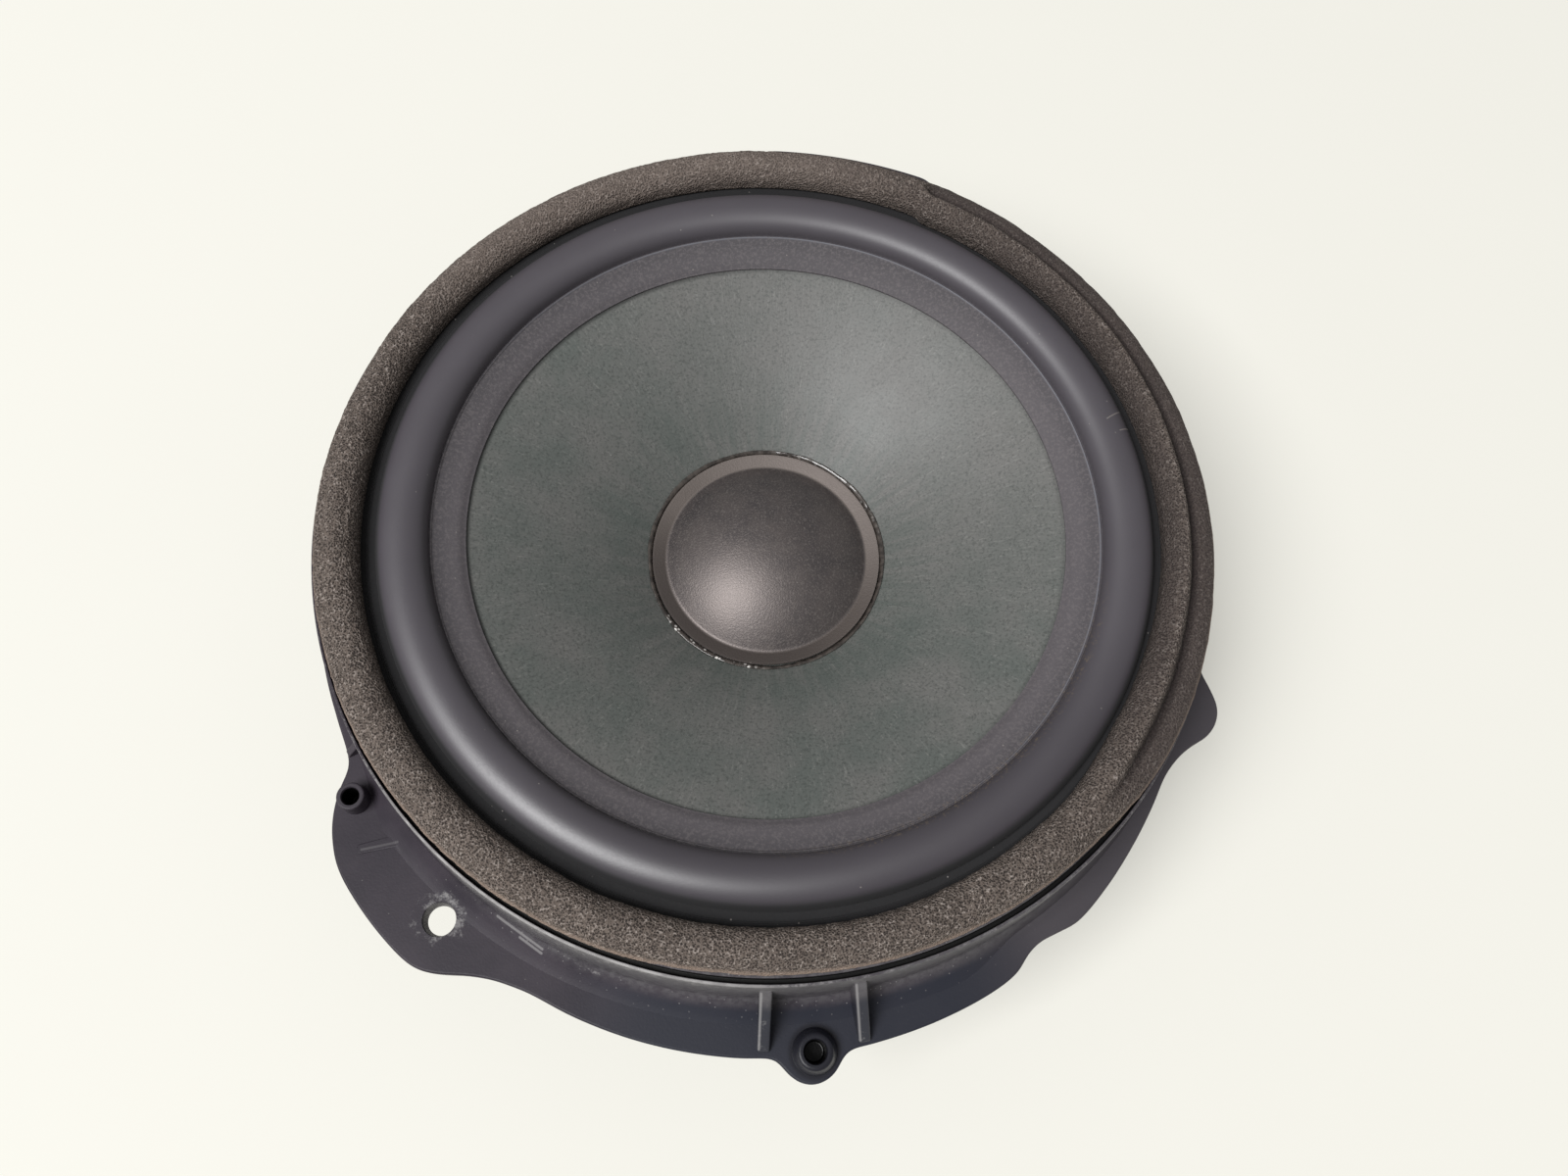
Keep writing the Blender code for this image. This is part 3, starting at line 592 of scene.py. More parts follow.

# %% [markdown]
# Seen close, the foam is brown-grey, with painted shade in its pores and a painted highlight on a few struts.
# It is duller where it has been pressed and a little pink where it was cut. Colour and relief come from the
# same field of cells, so a dark pore is also a dent. Painted shade darkens the inner wall on the right and
# the crease on the pressed strip, painted light brightens the far side, and the ring is darker towards the
# right.

# %% Foam finish
FOAM_CELL = 0.38


def foam_finish(name, body, pore_shade, glint, size):
    """Open-cell foam: body colour, painted shade in the pores and painted highlights on struts, from one
    field of cells.
    """
    made, tree, shader = finish_of(name, Roughness=0.95, Specular_IOR_Level=0.25)
    place = own_place(tree)
    field = effect(tree, open_cells, Vector=place, Size=size)
    clouds = span(tree, noise(tree, place, 6.0), 0.3, 0.7)
    colour = tint(tree, clouds, tuple(0.80 * c for c in body), body)
    colour = layered(tree, colour, (field["PoreShade"], 1.0, pore_shade), (field["Glint"], 0.6, glint))
    return made, tree, shader, colour, field


gasket_foam, tree, shader, colour, field = foam_finish(
    "gasket_foam", (0.190, 0.155, 0.134), (0.050, 0.041, 0.037), (0.52, 0.46, 0.42), FOAM_CELL
)
where = effect(tree, round_place, Vector=own_place(tree))
around = where["Around"]
pressed = stored(tree, "pressed")
# Painted shade on the ring's inner wall, on the right.
inner_wall_shade = times(tree, towards(tree, around, 5.0, 60.0), span(tree, where["Radius"], 79.0, 75.8))
colour = layered(
    tree, colour,
    (pressed, 0.60, (0.056, 0.045, 0.044)),
    (stored(tree, "edge"), 0.75, (0.36, 0.27, 0.22)),
    (inner_wall_shade, 0.55, (0.050, 0.040, 0.038)),
    # Darker towards the right.
    (towards(tree, around, 15.0, 85.0), 0.26, (0.060, 0.047, 0.044)),
    # Painted light: the far side of the ring is made lighter.
    (towards(tree, around, 105.0, 45.0), 0.32, (0.30, 0.245, 0.215)),
    # Painted shade in the crease on the pressed strip.
    (stored(tree, "crease"), 0.80, (0.020, 0.015, 0.015)),
)
depth = maths(tree, "SUBTRACT", 1.0, times(tree, pressed, 0.55))
wire(tree, shader, Base_Color=colour, Normal=relief(tree, times(tree, field["Height"], depth), 0.30, 1.0))
dress(foam, gasket_foam)
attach(foam, "frame")
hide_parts("foam_gasket")
print("foam cells of", FOAM_CELL, "mm")

# %% [markdown]
# The surround is the rubber half-roll that lets the cone travel. It is one sheet: a thin lip glued on the
# cone, the roll, and a flat outer lip in the basket's recess with a few fine moulding lines. A small ridge
# marks the roll's inner foot.

# %% Surround
ROLL_IN, ROLL_OUT, ROLL_HEIGHT = 64.0, 73.6, 4.2
LIP_IN, LIP_OUT, LIP_Z = 57.6, 81.0, 68.2
NECK, EDGE, BULGE = (18.7, 43.0), (63.7, 67.9), 2.3


def cone_front(radius):
    """Height of the cone's front: a circle through neck and edge that bulges between them."""
    run, rise = EDGE[0] - NECK[0], EDGE[1] - NECK[1]
    chord = np.hypot(run, rise)
    sweep = chord ** 2 / (8.0 * BULGE) + BULGE / 2.0
    back = (sweep - BULGE) / chord
    centre = ((EDGE[0] + NECK[0]) / 2.0 + rise * back, (EDGE[1] + NECK[1]) / 2.0 - run * back)
    return centre[1] + np.sqrt(sweep ** 2 - (radius - centre[0]) ** 2)


def stations(*stretches):
    """Radii along a line, stretch by stretch: from one to another in so many points."""
    return np.concatenate([np.linspace(*stretch) for stretch in stretches])


def surround_line():
    """Front line of the rubber: lip on the cone, half an ellipse for the roll, and the lined outer lip."""
    lip = stations((LIP_IN, 58.4, 6), (58.9, 63.1, 10), (63.2, 63.95, 12))
    lip_z = cone_front(np.minimum(lip, EDGE[0])) + 0.45 + 0.35 * ease((lip - LIP_IN) / 1.4)
    lip_z = lip_z + 0.22 * near(lip, 63.55, 0.14)
    turn = np.linspace(0.0, np.pi, 46)[1:]
    across = (1.0 - np.cos(turn)) / 2.0
    roll = ROLL_IN + (ROLL_OUT - ROLL_IN) * across
    roll_z = lip_z[-1] + (LIP_Z - lip_z[-1]) * across + ROLL_HEIGHT * np.sin(turn) ** 0.82
    outer = stations((73.75, 74.8, 5), (74.9, 76.1, 24), (76.5, LIP_OUT, 6))
    lines = sum(near(outer, r, 0.07) for r in (75.05, 75.38, 75.76))
    outer_z = LIP_Z - 0.10 * lines
    return np.stack([np.concatenate([lip, roll, outer]), np.concatenate([lip_z, roll_z, outer_z])], 1)


surround_front = surround_line()
rubber_t = 0.4 + 0.5 * ease((surround_front[:, :1] - LIP_IN - 4.0) / 2.0)
surround_grid = turned(sheet(surround_front, rubber_t), 460)
surround_grid[..., 2] += 0.05 * lumps(surround_grid * (1.0, 1.0, 0.0), 19.0, 7)
surround = piece("rubber_surround", surround_grid, ring=True, crease=60.0)
keep_rest(surround)
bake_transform(surround)


def follow_radius(made):
    """Work out how far each point lies from the axis; nothing uses the result."""
    radius, _ = round_of(place_of(made))


follow_radius(surround)
print("surround:", len(surround.data.polygons), "faces")

# %% [markdown]
# The rubber is nearly black with a touch of purple. The roll is satin, so light draws a soft line along it.
# The inner lip is dull and finely grained, and dust lies on lip and roll alike. Roughness and colour
# therefore change with the distance from the axis. Grain, dust and two scratches come from the shared groups.
# Painted shade darkens the inner lip towards the roll's foot, the roll in front, and the roll's outer foot
# and outer lip in the recess beside the foam, nearly to black. A painted highlight runs along the small ridge
# at the roll's inner foot.

# %% Rubber finish
RUBBER_SCRATCHES = (((68.9, 11.6), (72.6, 12.6)), ((70.6, 9.2), (73.0, 9.6)))
surround_rubber, tree, shader = finish_of("surround_rubber", Specular_IOR_Level=1.0)
place = own_place(tree, bends=True)
where = effect(tree, round_place, Vector=place)
around, radius = where["Around"], where["Radius"]
inner, outer = span(tree, radius, 64.3, 63.5), span(tree, radius, 71.9, 73.1)
grain = grain_of(tree, place, 0.35)
# Painted shade: the inner lip darkens towards the roll's foot. It is also darker towards the far side.
lip_colour_with_shade = layered(
    tree, tint(tree, span(tree, radius, 60.0, 62.6), (0.092, 0.081, 0.090), (0.068, 0.060, 0.068)),
    (towards(tree, around, 100.0, 80.0), 0.4, (0.050, 0.044, 0.050)),
)
grit = times(
    tree, span(tree, noise(tree, place, 0.7, 4.0, 0.7), 0.50, 0.66), span(tree, radius, 62.6, 63.6),
    span(tree, radius, 65.6, 64.6), towards(tree, around, 303.0, 44.0),
)
ridge = times(tree, span(tree, radius, 63.30, 63.50), span(tree, radius, 63.80, 63.62))
# Painted highlight along the small ridge at the roll's inner foot.
ridge_highlight = times(tree, ridge, towards(tree, around, 40.0, 120.0))
low_side = span(tree, add(tree, "SeparateXYZ", {0: place}).outputs[1], 0.02, -0.06)
settled = times(tree, low_side, span(tree, noise(tree, place, 12.0), 0.5, 0.7))
motes = times(tree, dusted(tree, place, 0.9, 0.10, 0.16), settled, 0.5)
dust = maths(tree, "MAXIMUM", times(tree, dusted(tree, place, 2.2, 0.20, 0.085), 0.7), motes)
for start, end in RUBBER_SCRATCHES:
    dust = maths(tree, "MAXIMUM", dust, times(tree, scratched(tree, place, start, end, 0.18), 0.6))
mottle = times(tree, span(tree, noise(tree, place, 0.6, 3.0, 0.75), 0.47, 0.62), inner)
colour = layered(
    tree, tint(tree, noise(tree, place, 9.0), (0.074, 0.066, 0.078), (0.088, 0.079, 0.093)),
    # Painted shade on the roll in front.
    (towards(tree, around, 280.0, 60.0), 0.5, (0.044, 0.038, 0.047)),
    (inner, 1.0, lip_colour_with_shade),
    # Painted shade: the roll's outer foot and the outer lip, in the recess beside the foam, are nearly black.
    (outer, 1.0, (0.006, 0.0055, 0.0070)),
    (grit, 0.6, (0.19, 0.145, 0.10)),
    (ridge_highlight, 0.45, (0.30, 0.31, 0.36)),
    (dust, 1.0, (0.32, 0.29, 0.27)),
    (mottle, 0.42, (0.17, 0.150, 0.155)),
)
satin = plus(
    tree, times(tree, grain, 0.10), 0.36, times(tree, towards(tree, around, 45.0, 110.0), 0.07),
    times(tree, inner, 0.28), times(tree, outer, 0.50),
)
bumps = times(tree, grain, span(tree, inner, 0.0, 1.0, 0.25, 1.0))
wire(tree, shader, Base_Color=colour, Roughness=satin, Normal=relief(tree, bumps, 0.05, 0.7))
dress(surround, surround_rubber)
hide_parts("surround")
print("rubber finish ready")

# %% [markdown]
# The cone is pressed paper pulp, coated grey-green. Its fibres run mostly outwards and it is cloudy, as
# felted paper is. It is a thin shell turned from the same arc that the solids use.

# %% Cone
cone_r = np.linspace(NECK[0], EDGE[0], 72)
cone_grid = turned(sheet(np.stack([cone_r, cone_front(cone_r)], 1), 0.9), 360)
cone_grid[..., 2] += 0.03 * lumps(cone_grid, 4.0, 11)
cone = piece("paper_cone", cone_grid, ring=True)

cone_pulp, tree, shader = finish_of("cone_pulp", Specular_IOR_Level=0.55)
place = own_place(tree)
where = effect(tree, round_place, Vector=place)
around, radius = where["Around"], where["Radius"]
clouds = noise(tree, place, 14.0, 5.0, 0.62)
fibres = effect(tree, streaks, Vector=place, Count=900.0, Length=2.6)["Value"]
brush = effect(tree, streaks, Vector=place, Count=130.0, Length=14.0)["Value"]
felt = noise(tree, place, 0.55, 4.0, 0.7)
light_fibre = times(tree, span(tree, fibres, 0.50, 0.74), span(tree, felt, 0.42, 0.62))
brushed = times(tree, span(tree, radius, 44.0, 26.0), span(tree, brush, 0.4, 0.62))
shade = plus(tree, times(tree, towards(tree, around, 170.0, 100.0), 0.45), 0.25)
colour = layered(
    tree, tint(tree, span(tree, clouds, 0.30, 0.70), (0.126, 0.140, 0.130), (0.166, 0.165, 0.157)),
    (towards(tree, around, 50.0, 85.0), 0.55, (0.166, 0.162, 0.155)),
    (light_fibre, 0.65, (0.27, 0.27, 0.255)),
    (span(tree, felt, 0.52, 0.34), 0.60, (0.060, 0.066, 0.061)),
    (brushed, 0.35, (0.078, 0.100, 0.090)),
    (times(tree, span(tree, radius, 56.7, 57.5), shade), 1.0, (0.020, 0.022, 0.021)),
    (dusted(tree, place, 3.4, 0.10, 0.06), 0.6, (0.34, 0.35, 0.33)),
)
sheen = plus(tree, span(tree, clouds, 0.3, 0.7, 0.40, 0.48), times(tree, fibres, 0.06))
grain = grain_of(tree, place, 0.5)
height = plus(tree, times(tree, fibres, 0.5), times(tree, felt, 0.6), times(tree, grain, 0.3))
wire(tree, shader, Base_Color=colour, Roughness=sheen, Normal=relief(tree, height, 0.06, 0.8))
dress(cone, cone_pulp)
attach(cone, "cone_assembly")
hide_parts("cone")
print("cone:", len(cone.data.polygons), "faces")

# %% [markdown]
# The dust cap keeps grit out of the magnet's gap. It is pressed cloth: a shallow dome, a tight valley round
# it, and a brim that follows the cone. The section starts on the axis, so the top closes in a pole.

# %% Dust cap
CAP_R, CAP_VALLEY_R, CAP_DOME = 23.5, 20.6, 7.6
CAP_LAND = cone_front(CAP_R) + 1.0
CAP_VALLEY = CAP_LAND - 1.0


def cap_line():
    """Front line of the cap: part of a circle, a small curve through the valley, and the brim."""
    sweep = (CAP_VALLEY_R ** 2 + CAP_DOME ** 2) / (2.0 * CAP_DOME)
    dome_r = np.linspace(0.0, CAP_VALLEY_R - 0.5, 44)
    dome = np.stack([dome_r, CAP_VALLEY + CAP_DOME - sweep + np.sqrt(sweep ** 2 - dome_r ** 2)], 1)
    brim_r = np.linspace(CAP_VALLEY_R + 0.55, CAP_R - 0.25, 10)
    slope = (CAP_LAND - CAP_VALLEY) / (CAP_R - CAP_VALLEY_R)
    brim = np.stack([brim_r, CAP_VALLEY + slope * (brim_r - CAP_VALLEY_R)], 1)
    t = np.linspace(0.0, 1.0, 9)[1:-1, None]
    foot = np.array([[CAP_VALLEY_R + 0.05, CAP_VALLEY - 0.05]])
    valley = (1.0 - t) ** 2 * dome[-1] + 2.0 * t * (1.0 - t) * foot + t ** 2 * brim[0]
    tip = np.array([[CAP_R - 0.08, CAP_LAND - 0.06], [CAP_R, CAP_LAND - 0.22]])
    return np.concatenate([dome, valley, brim, tip])


cap_section = sheet(cap_line(), 0.6, thin=2)
cap = piece("dome_cap", turned(cap_section, 220))

cap_cloth, tree, shader = finish_of(
    "cap_cloth", IOR=1.78, Specular_IOR_Level=0.9, Specular_Tint=(1.0, 0.88, 0.84, 1.0)
)
place = own_place(tree)
where = effect(tree, round_place, Vector=place)
grain = grain_of(tree, place, 0.32)
clouds = noise(tree, place, 6.0, 4.0, 0.6)
brim = span(tree, where["Radius"], 20.3, 20.9)
low_side = span(tree, add(tree, "SeparateXYZ", {0: place}).outputs[1], 0.004, -0.014)
# The brim's colour, with painted shade: darker on the near side, and much darker on the lower left.
brim_colour_with_shade = layered(
    tree, tint(tree, clouds, (0.078, 0.066, 0.058), (0.112, 0.096, 0.086)),
    (low_side, 1.0, (0.042, 0.034, 0.029)),
    (towards(tree, where["Around"], 228.0, 85.0), 0.85, (0.018, 0.014, 0.012)),
)
colour = layered(
    tree, tint(tree, span(tree, clouds, 0.3, 0.7), (0.024, 0.023, 0.027), (0.056, 0.049, 0.049)),
    (span(tree, grain, 0.5, 0.85), 1.0, (0.11, 0.10, 0.095)),
    (brim, 1.0, brim_colour_with_shade),
    (dusted(tree, place, 2.6, 0.12, 0.05), 0.6, (0.34, 0.32, 0.30)),
)
satin = plus(tree, times(tree, grain, 0.12), span(tree, brim, 0.0, 1.0, 0.42, 0.58))
wire(tree, shader, Base_Color=colour, Roughness=satin, Normal=relief(tree, grain, 0.06, 0.9))
dress(cap, cap_cloth)
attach(cap, "cone_assembly")
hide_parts("dust_cap")
print("cap:", len(cap.data.polygons), "faces, top at", round(float(CAP_VALLEY + CAP_DOME), 1), "mm")

# %% [markdown]
# A bead of glue holds the cap. It swells and thins as if run by hand, and it has set dark and glossy. Pale
# specks along its lower left, and a few on its far right, are painted highlights. The bead is a flattened
# tube whose radius, width and height wander with the lumps.

# %% Glue bead
BEAD_COLS, BEAD_SIDES, BEAD_R = 520, 18, 24.0


def bead_ring():
    """A tube round the cap: its middle, half width and height each wander round the axis."""
    angle = TURN * np.arange(BEAD_COLS) / BEAD_COLS
    circle = BEAD_R * np.stack([np.cos(angle), np.sin(angle), 0.0 * angle], -1)
    middle = BEAD_R + 0.10 * lumps(circle, 6.0, 21) + 0.04 * lumps(circle, 1.7, 22)
    wide = 0.52 + 0.14 * lumps(circle, 6.0, 23) + 0.07 * lumps(circle, 1.6, 24)
    tall = 0.46 + 0.10 * lumps(circle, 5.0, 25) + 0.10 * lumps(circle, 1.3, 26)
    turn = TURN * np.arange(BEAD_SIDES)[:, None] / BEAD_SIDES
    radius = middle + wide * np.cos(turn)
    height = cone_front(radius) + 0.1 + np.where(np.sin(turn) > 0.0, tall, 0.05) * np.sin(turn)
    return np.stack([radius * np.cos(angle), radius * np.sin(angle), height], -1)


bead = piece("cap_glue", bead_ring(), ring=True, crease=80.0)
set_glue, tree, shader = finish_of("set_glue", Specular_IOR_Level=0.5, Coat_Roughness=0.06, Coat_Weight=0.8)
place = own_place(tree)
runs = noise(tree, place, 1.4, 4.0)
around = effect(tree, round_place, Vector=place)["Around"]
far_glint_share = times(tree, towards(tree, around, 45.0, 40.0), 0.15)
bead_glint_sides = maths(tree, "MAXIMUM", towards(tree, around, 230.0, 36.0), far_glint_share)
colour = layered(
    tree, tint(tree, span(tree, runs, 0.35, 0.65), (0.034, 0.028, 0.025), (0.085, 0.071, 0.062)),
    # Painted highlights: pale specks on the lower left and a few on the far right.
    (dusted(tree, place, 0.95, 0.62, 0.42), bead_glint_sides, (0.90, 0.87, 0.83)),
)
gloss = span(tree, runs, 0.3, 0.7, 0.16, 0.36)
wire(tree, shader, Base_Color=colour, Roughness=gloss, Normal=relief(tree, runs, 0.10, 0.6))
dress(bead, set_glue)
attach(bead, "cone_assembly")
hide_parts("cap_glue_bead")
print("bead:", len(bead.data.polygons), "faces")

# %% [markdown]
# The basket is one plastic moulding: a rim with a recess, a skirt, a flange with tabs, a sloping wall with
# twelve windows, ribs behind the rim, and a drum that carries the motor. Each feature is a closed surface of
# its own with rounded edges. Boolean steps fuse them into one skin, as the mould does, and cut the windows
# and holes. The cutters are removed at once, so only the finished skin is left.

# %% Plates and fusing
def lofted(outline, rows):
    """Stack an outline: each row draws it in by an inset and lifts it to a height; both ends close."""
    outline, rows = np.asarray(outline, float), np.asarray(rows, float)
    along = np.roll(outline, -1, 0) - np.roll(outline, 1, 0)
    along /= np.linalg.norm(along, axis=1, keepdims=True)
    inward = np.stack([-along[:, 1], along[:, 0]], 1)
    x, y = outline[:, 0], outline[:, 1]
    if np.sum(x * np.roll(y, -1) - np.roll(x, -1) * y) < 0.0:
        inward = -inward
    flat = outline[None] + rows[:, 0, None, None] * inward[None]
    height = np.broadcast_to(rows[:, 1, None, None], (*flat.shape[:2], 1))
    grid = np.concatenate([flat, height], -1)
    middle = np.broadcast_to(outline.mean(0), outline.shape)
    caps = [np.concatenate([middle, height[k]], -1)[None] for k in (0, -1)]
    return np.concatenate([caps[0], grid, caps[1]])


def plate(outline, low, high, edge):
    """A plate between two heights with rounded rims."""
    inset = 2.0 * edge
    rows = rounded([(inset, low), (0.0, low), (0.0, high), (inset, high)], edge, ends=True)
    return lofted(outline, rows)


def radial(grid, degrees):
    """Stand a grid of (radius, height, across) up in the radial plane at an angle."""
    out, up, across = np.moveaxis(grid, -1, 0)
    c, s = np.cos(np.radians(degrees)), np.sin(np.radians(degrees))
    return np.stack([out * c - across * s, out * s + across * c, up], -1)


def fuse(target, operation, name, points, ring=False):
    """Join a shape to a piece or cut it away, and keep the result as the piece's mesh."""
    helper = piece(name, points, ring)
    step = target.modifiers.new("step", "BOOLEAN")
    step.operation, step.solver, step.object = operation, "MANIFOLD", helper
    depsgraph = bpy.context.evaluated_depsgraph_get()
    skin = bpy.data.meshes.new_from_object(target.evaluated_get(depsgraph))
    target.modifiers.clear()
    used = target.data, helper.data
    target.data = skin
    bpy.data.objects.remove(helper)
    for mesh in used:
        bpy.data.meshes.remove(mesh)


print("plate helpers ready")

# %% [markdown]
# The turned part of the basket comes first. Its section goes from the recess over the rim, down the skirt,
# back up behind it, down the sloping wall to the spider's ledge, and round the drum to the motor seat.
# Windows are cut before the ribs are added, because the ribs stand between them.

# %% Basket ring, windows and ribs
RIM_Z, SPIDER_Z, FLANGE_Z, FLANGE_T = 67.0, 38.0, 51.0, 3.0
BUCKET_LOW, BUCKET_TOP, BUCKET_T = 50.8, 71.7, 3.0
WINDOWS, WINDOW_HALF, WINDOW_LOW, WINDOW_HIGH = 12, 9.5, 42.0, 62.6


def bucket(height):
    """Inner radius of the sloping wall at a height: a straight line from the ledge to the rim."""
    return BUCKET_LOW + (BUCKET_TOP - BUCKET_LOW) * (height - SPIDER_Z) / (RIM_Z - SPIDER_Z)


ring_corners = np.array([
    (BUCKET_TOP, RIM_Z, 0.5), (81.3, RIM_Z, 0.2), (81.3, 68.2, 0.25), (84.1, 68.2, 0.15), (84.15, 66.5, 0.2),
    (85.0, 66.5, 0.2), (85.05, 67.8, 0.12), (85.5, 67.8, 0.2), (85.75, 66.4, 0.4), (86.7, 54.0, 1.0),
    (87.2, 53.07, 0.2), (87.7, 52.13, 0.2), (88.2, 51.2, 0.2), (88.6, 50.45, 0.1),
    (88.6, 49.5, 0.2), (84.0, 49.5, 0.5), (83.2, 64.0, 1.2),
    (bucket(64.0) + BUCKET_T, 64.0, 1.2), (BUCKET_LOW + BUCKET_T, SPIDER_Z, 0.8), (53.2, 35.6, 0.8),
    (48.0, 35.6, 1.2), (48.0, 25.9, 0.8), (27.5, 25.9, 0.5), (27.5, 28.9, 0.5), (45.6, 28.9, 1.0),
    (45.6, SPIDER_Z, 0.6), (BUCKET_LOW, SPIDER_Z, 0.8),
])
ring_grid = turned(rounded(ring_corners[:, :2], ring_corners[:, 2]), 288)
ring_r, ring_a = round_of(ring_grid)
run_out = 4.2 * band(ring_a, 204.0, 12.0, 297.0, 10.0)
run_out = run_out * np.clip((ring_r - 86.0) / 2.6, 0.0, 1.0) ** 3
ring_grid[..., :2] *= (1.0 + run_out / ring_r)[..., None]
basket = piece("moulded_basket", ring_grid, ring=True)

window = np.array([(-1.0, WINDOW_LOW), (1.0, WINDOW_LOW), (1.0, WINDOW_HIGH), (-1.0, WINDOW_HIGH)])
window = rounded(window * (WINDOW_HALF, 1.0), 2.6, 6)
reach = np.array([-4.8, 6.0])[:, None]
across, up = np.broadcast_to(window[:, 0], (2, len(window))), np.broadcast_to(window[:, 1], (2, len(window)))
cutter = np.stack([bucket(up) + reach, up, across], -1)
ends = [np.broadcast_to(row.mean(0), row.shape)[None] for row in cutter]
cutter = np.concatenate([ends[0], cutter, ends[1]])
angles = 360.0 * np.arange(WINDOWS) / WINDOWS
fuse(basket, "DIFFERENCE", "windows", [radial(cutter, a) for a in angles])

rib = rounded([(bucket(47.0) + 1.6, 47.0), (84.8, 50.6), (84.2, 65.6), (bucket(65.6) + 1.6, 65.6)], 0.8)
rib = plate(rib, -1.0, 1.0, 0.5)
fuse(basket, "UNION", "ribs", [radial(rib, a + 180.0 / WINDOWS) for a in angles])
print("basket ring:", len(basket.data.polygons), "faces after", WINDOWS, "windows and ribs")

# %% [markdown]
# The flange's edge is a plain circle that swells into a long lug, a short one, two screw tabs, an ear and a
# round tab for a boss. Most of it is a smooth curve through listed reaches, angle by angle. The outline
# is then walked in even steps, so that steep shoulders get as many points as gentle ones.

# %% Flange
FLANGE_R, FLANGE_IN = 89.6, 85.2
NEAR_TAB = [
    (198, 0.0), (203, 0.4), (205, 1.4), (207, 4.8), (209, 7.5), (211, 9.5), (214, 11.5), (218, 12.5),
    (224, 13.3), (226.8, 13.3), (228.5, 12.5), (230, 11.1), (232, 9.0), (234, 7.5), (236, 6.6), (239, 6.0),
]
LONG_SECTOR = [(244, 6.4), (252, 6.9), (262, 7.2), (265.3, 7.2)]
BOSS_TAB = [(266.2, 7.9), (267, 9.5), (268, 11.0), (269.4, 11.8), (270.8, 11.4), (272, 10.1), (272.9, 8.1)]
LONG_SECTOR_END = [(273.8, 7.0), (276, 6.7), (284, 6.1), (291, 5.4), (294, 4.6), (296, 3.1)]
SHORT_SECTOR = [(298, 2.5), (300.5, 3.1), (303, 3.8), (308, 3.1), (314, 2.0), (320, 1.0), (324, 0.5)]
EAR = [(327, 1.4), (329, 2.9), (331, 5.1), (333, 6.0), (335, 5.5), (337, 3.3), (339, 0.9), (342, 0.0)]
FAR_TAB, FAR_REACH = (55.0, 64.0, 84.0, 93.0), 12.4
BOSS = polar(96.0, 270.0)
PEG = polar(92.2, 209.0)
NEAR_HOLE, FAR_HOLE = polar(94.0, 226.0), polar(94.0, 74.0)


def curve_through(pairs, at):
    """Smooth curve through (place, value) pairs: cubics whose slopes come from the pairs on either side."""
    x, y = np.array(pairs, float).T
    slope = np.gradient(y, x, edge_order=1)
    slope[1:-1] = (y[2:] - y[:-2]) / (x[2:] - x[:-2])
    i = np.clip(np.searchsorted(x, at, side="right") - 1, 0, len(x) - 2)
    run = x[i + 1] - x[i]
    t = np.clip((at - x[i]) / run, 0.0, 1.0)
    bend = t * (1.0 - t) * run * ((1.0 - t) * slope[i] - t * slope[i + 1])
    return y[i] + (y[i + 1] - y[i]) * ease(t) + bend


def flange_outline(count):
    """Outer edge of the flange in even steps, with its inner corners eased by a short running mean."""
    angle = np.linspace(0.0, 360.0, 7200, endpoint=False)
    a, b, c, d = FAR_TAB
    far = FAR_REACH * np.minimum(ease((angle - a) / (b - a)), ease((d - angle) / (d - c)))
    pairs = NEAR_TAB + LONG_SECTOR + BOSS_TAB + LONG_SECTOR_END + SHORT_SECTOR + EAR
    even = even_steps(polar(FLANGE_R + far + curve_through(pairs, angle), angle), count)
    return np.mean([np.roll(even, shift, 0) for shift in range(-2, 3)], axis=0)


edge_line = flange_outline(1080)
flange_low = FLANGE_Z - FLANGE_T
steps = rounded([(1.6, flange_low), (0, flange_low), (0, FLANGE_Z), (1.6, FLANGE_Z)], 0.45, ends=True)
flange_grid = lofted(edge_line, steps)
inner_ring = FLANGE_IN * edge_line / np.linalg.norm(edge_line, axis=1, keepdims=True)
flange_grid[[0, -1], :, :2] = inner_ring
fuse(basket, "UNION", "flange", flange_grid, ring=True)
print("flange reaches", round(float(np.linalg.norm(edge_line, axis=1).max()), 1), "mm from the axis")

# %% [markdown]
# On the flange stand a hollow boss between two gussets, a hollow peg, a small gusset, a low rib and a thin
# pad round each screw hole. Behind the rim a web carries the connector. The holes are cut last, with cutters
# that widen at the mouth. Screw holes taper, as moulded holes do, and the bores of boss and peg are blind.

# %% Bosses, gussets and holes
BOSS_TOP, BOSS_BORE = 53.9, 2.0
PEG_TOP, PEG_BORE = 55.2, 1.55
GUSSET_ANGLES, GUSSET = (264.6, 275.4), [(84.4, 49.6), (95.7, 49.6), (95.7, 51.8), (84.6, 65.4)]
SMALL_ANGLE, SMALL_GUSSET = 203.5, [(84.8, 49.6), (90.0, 49.6), (90.0, 51.5), (85.0, 57.0)]
SEAT_HOLES, SEAT_R = 4, 33.75
WEB_IN, WEB_OUT, WEB_HALF = 66.3, 82.8, 13.5


def post(corners, centre, cols=64, curve=0.35):
    """A turned post: an open section from axis to axis, carried round its own centre."""
    return turned(rounded(corners, curve, ends=True), cols, centre)


def bore(centre, foot, radius, low, high, cols=48):
    """A cutter for a round hole: its radius at the foot, that at the top, then flared past the face."""
    flare = [(0.0, low), (foot, low), (radius, high - 0.4), (radius + 1.2, high + 2.0), (0.0, high + 2.0)]
    return post(flare, centre, cols, 0.3)


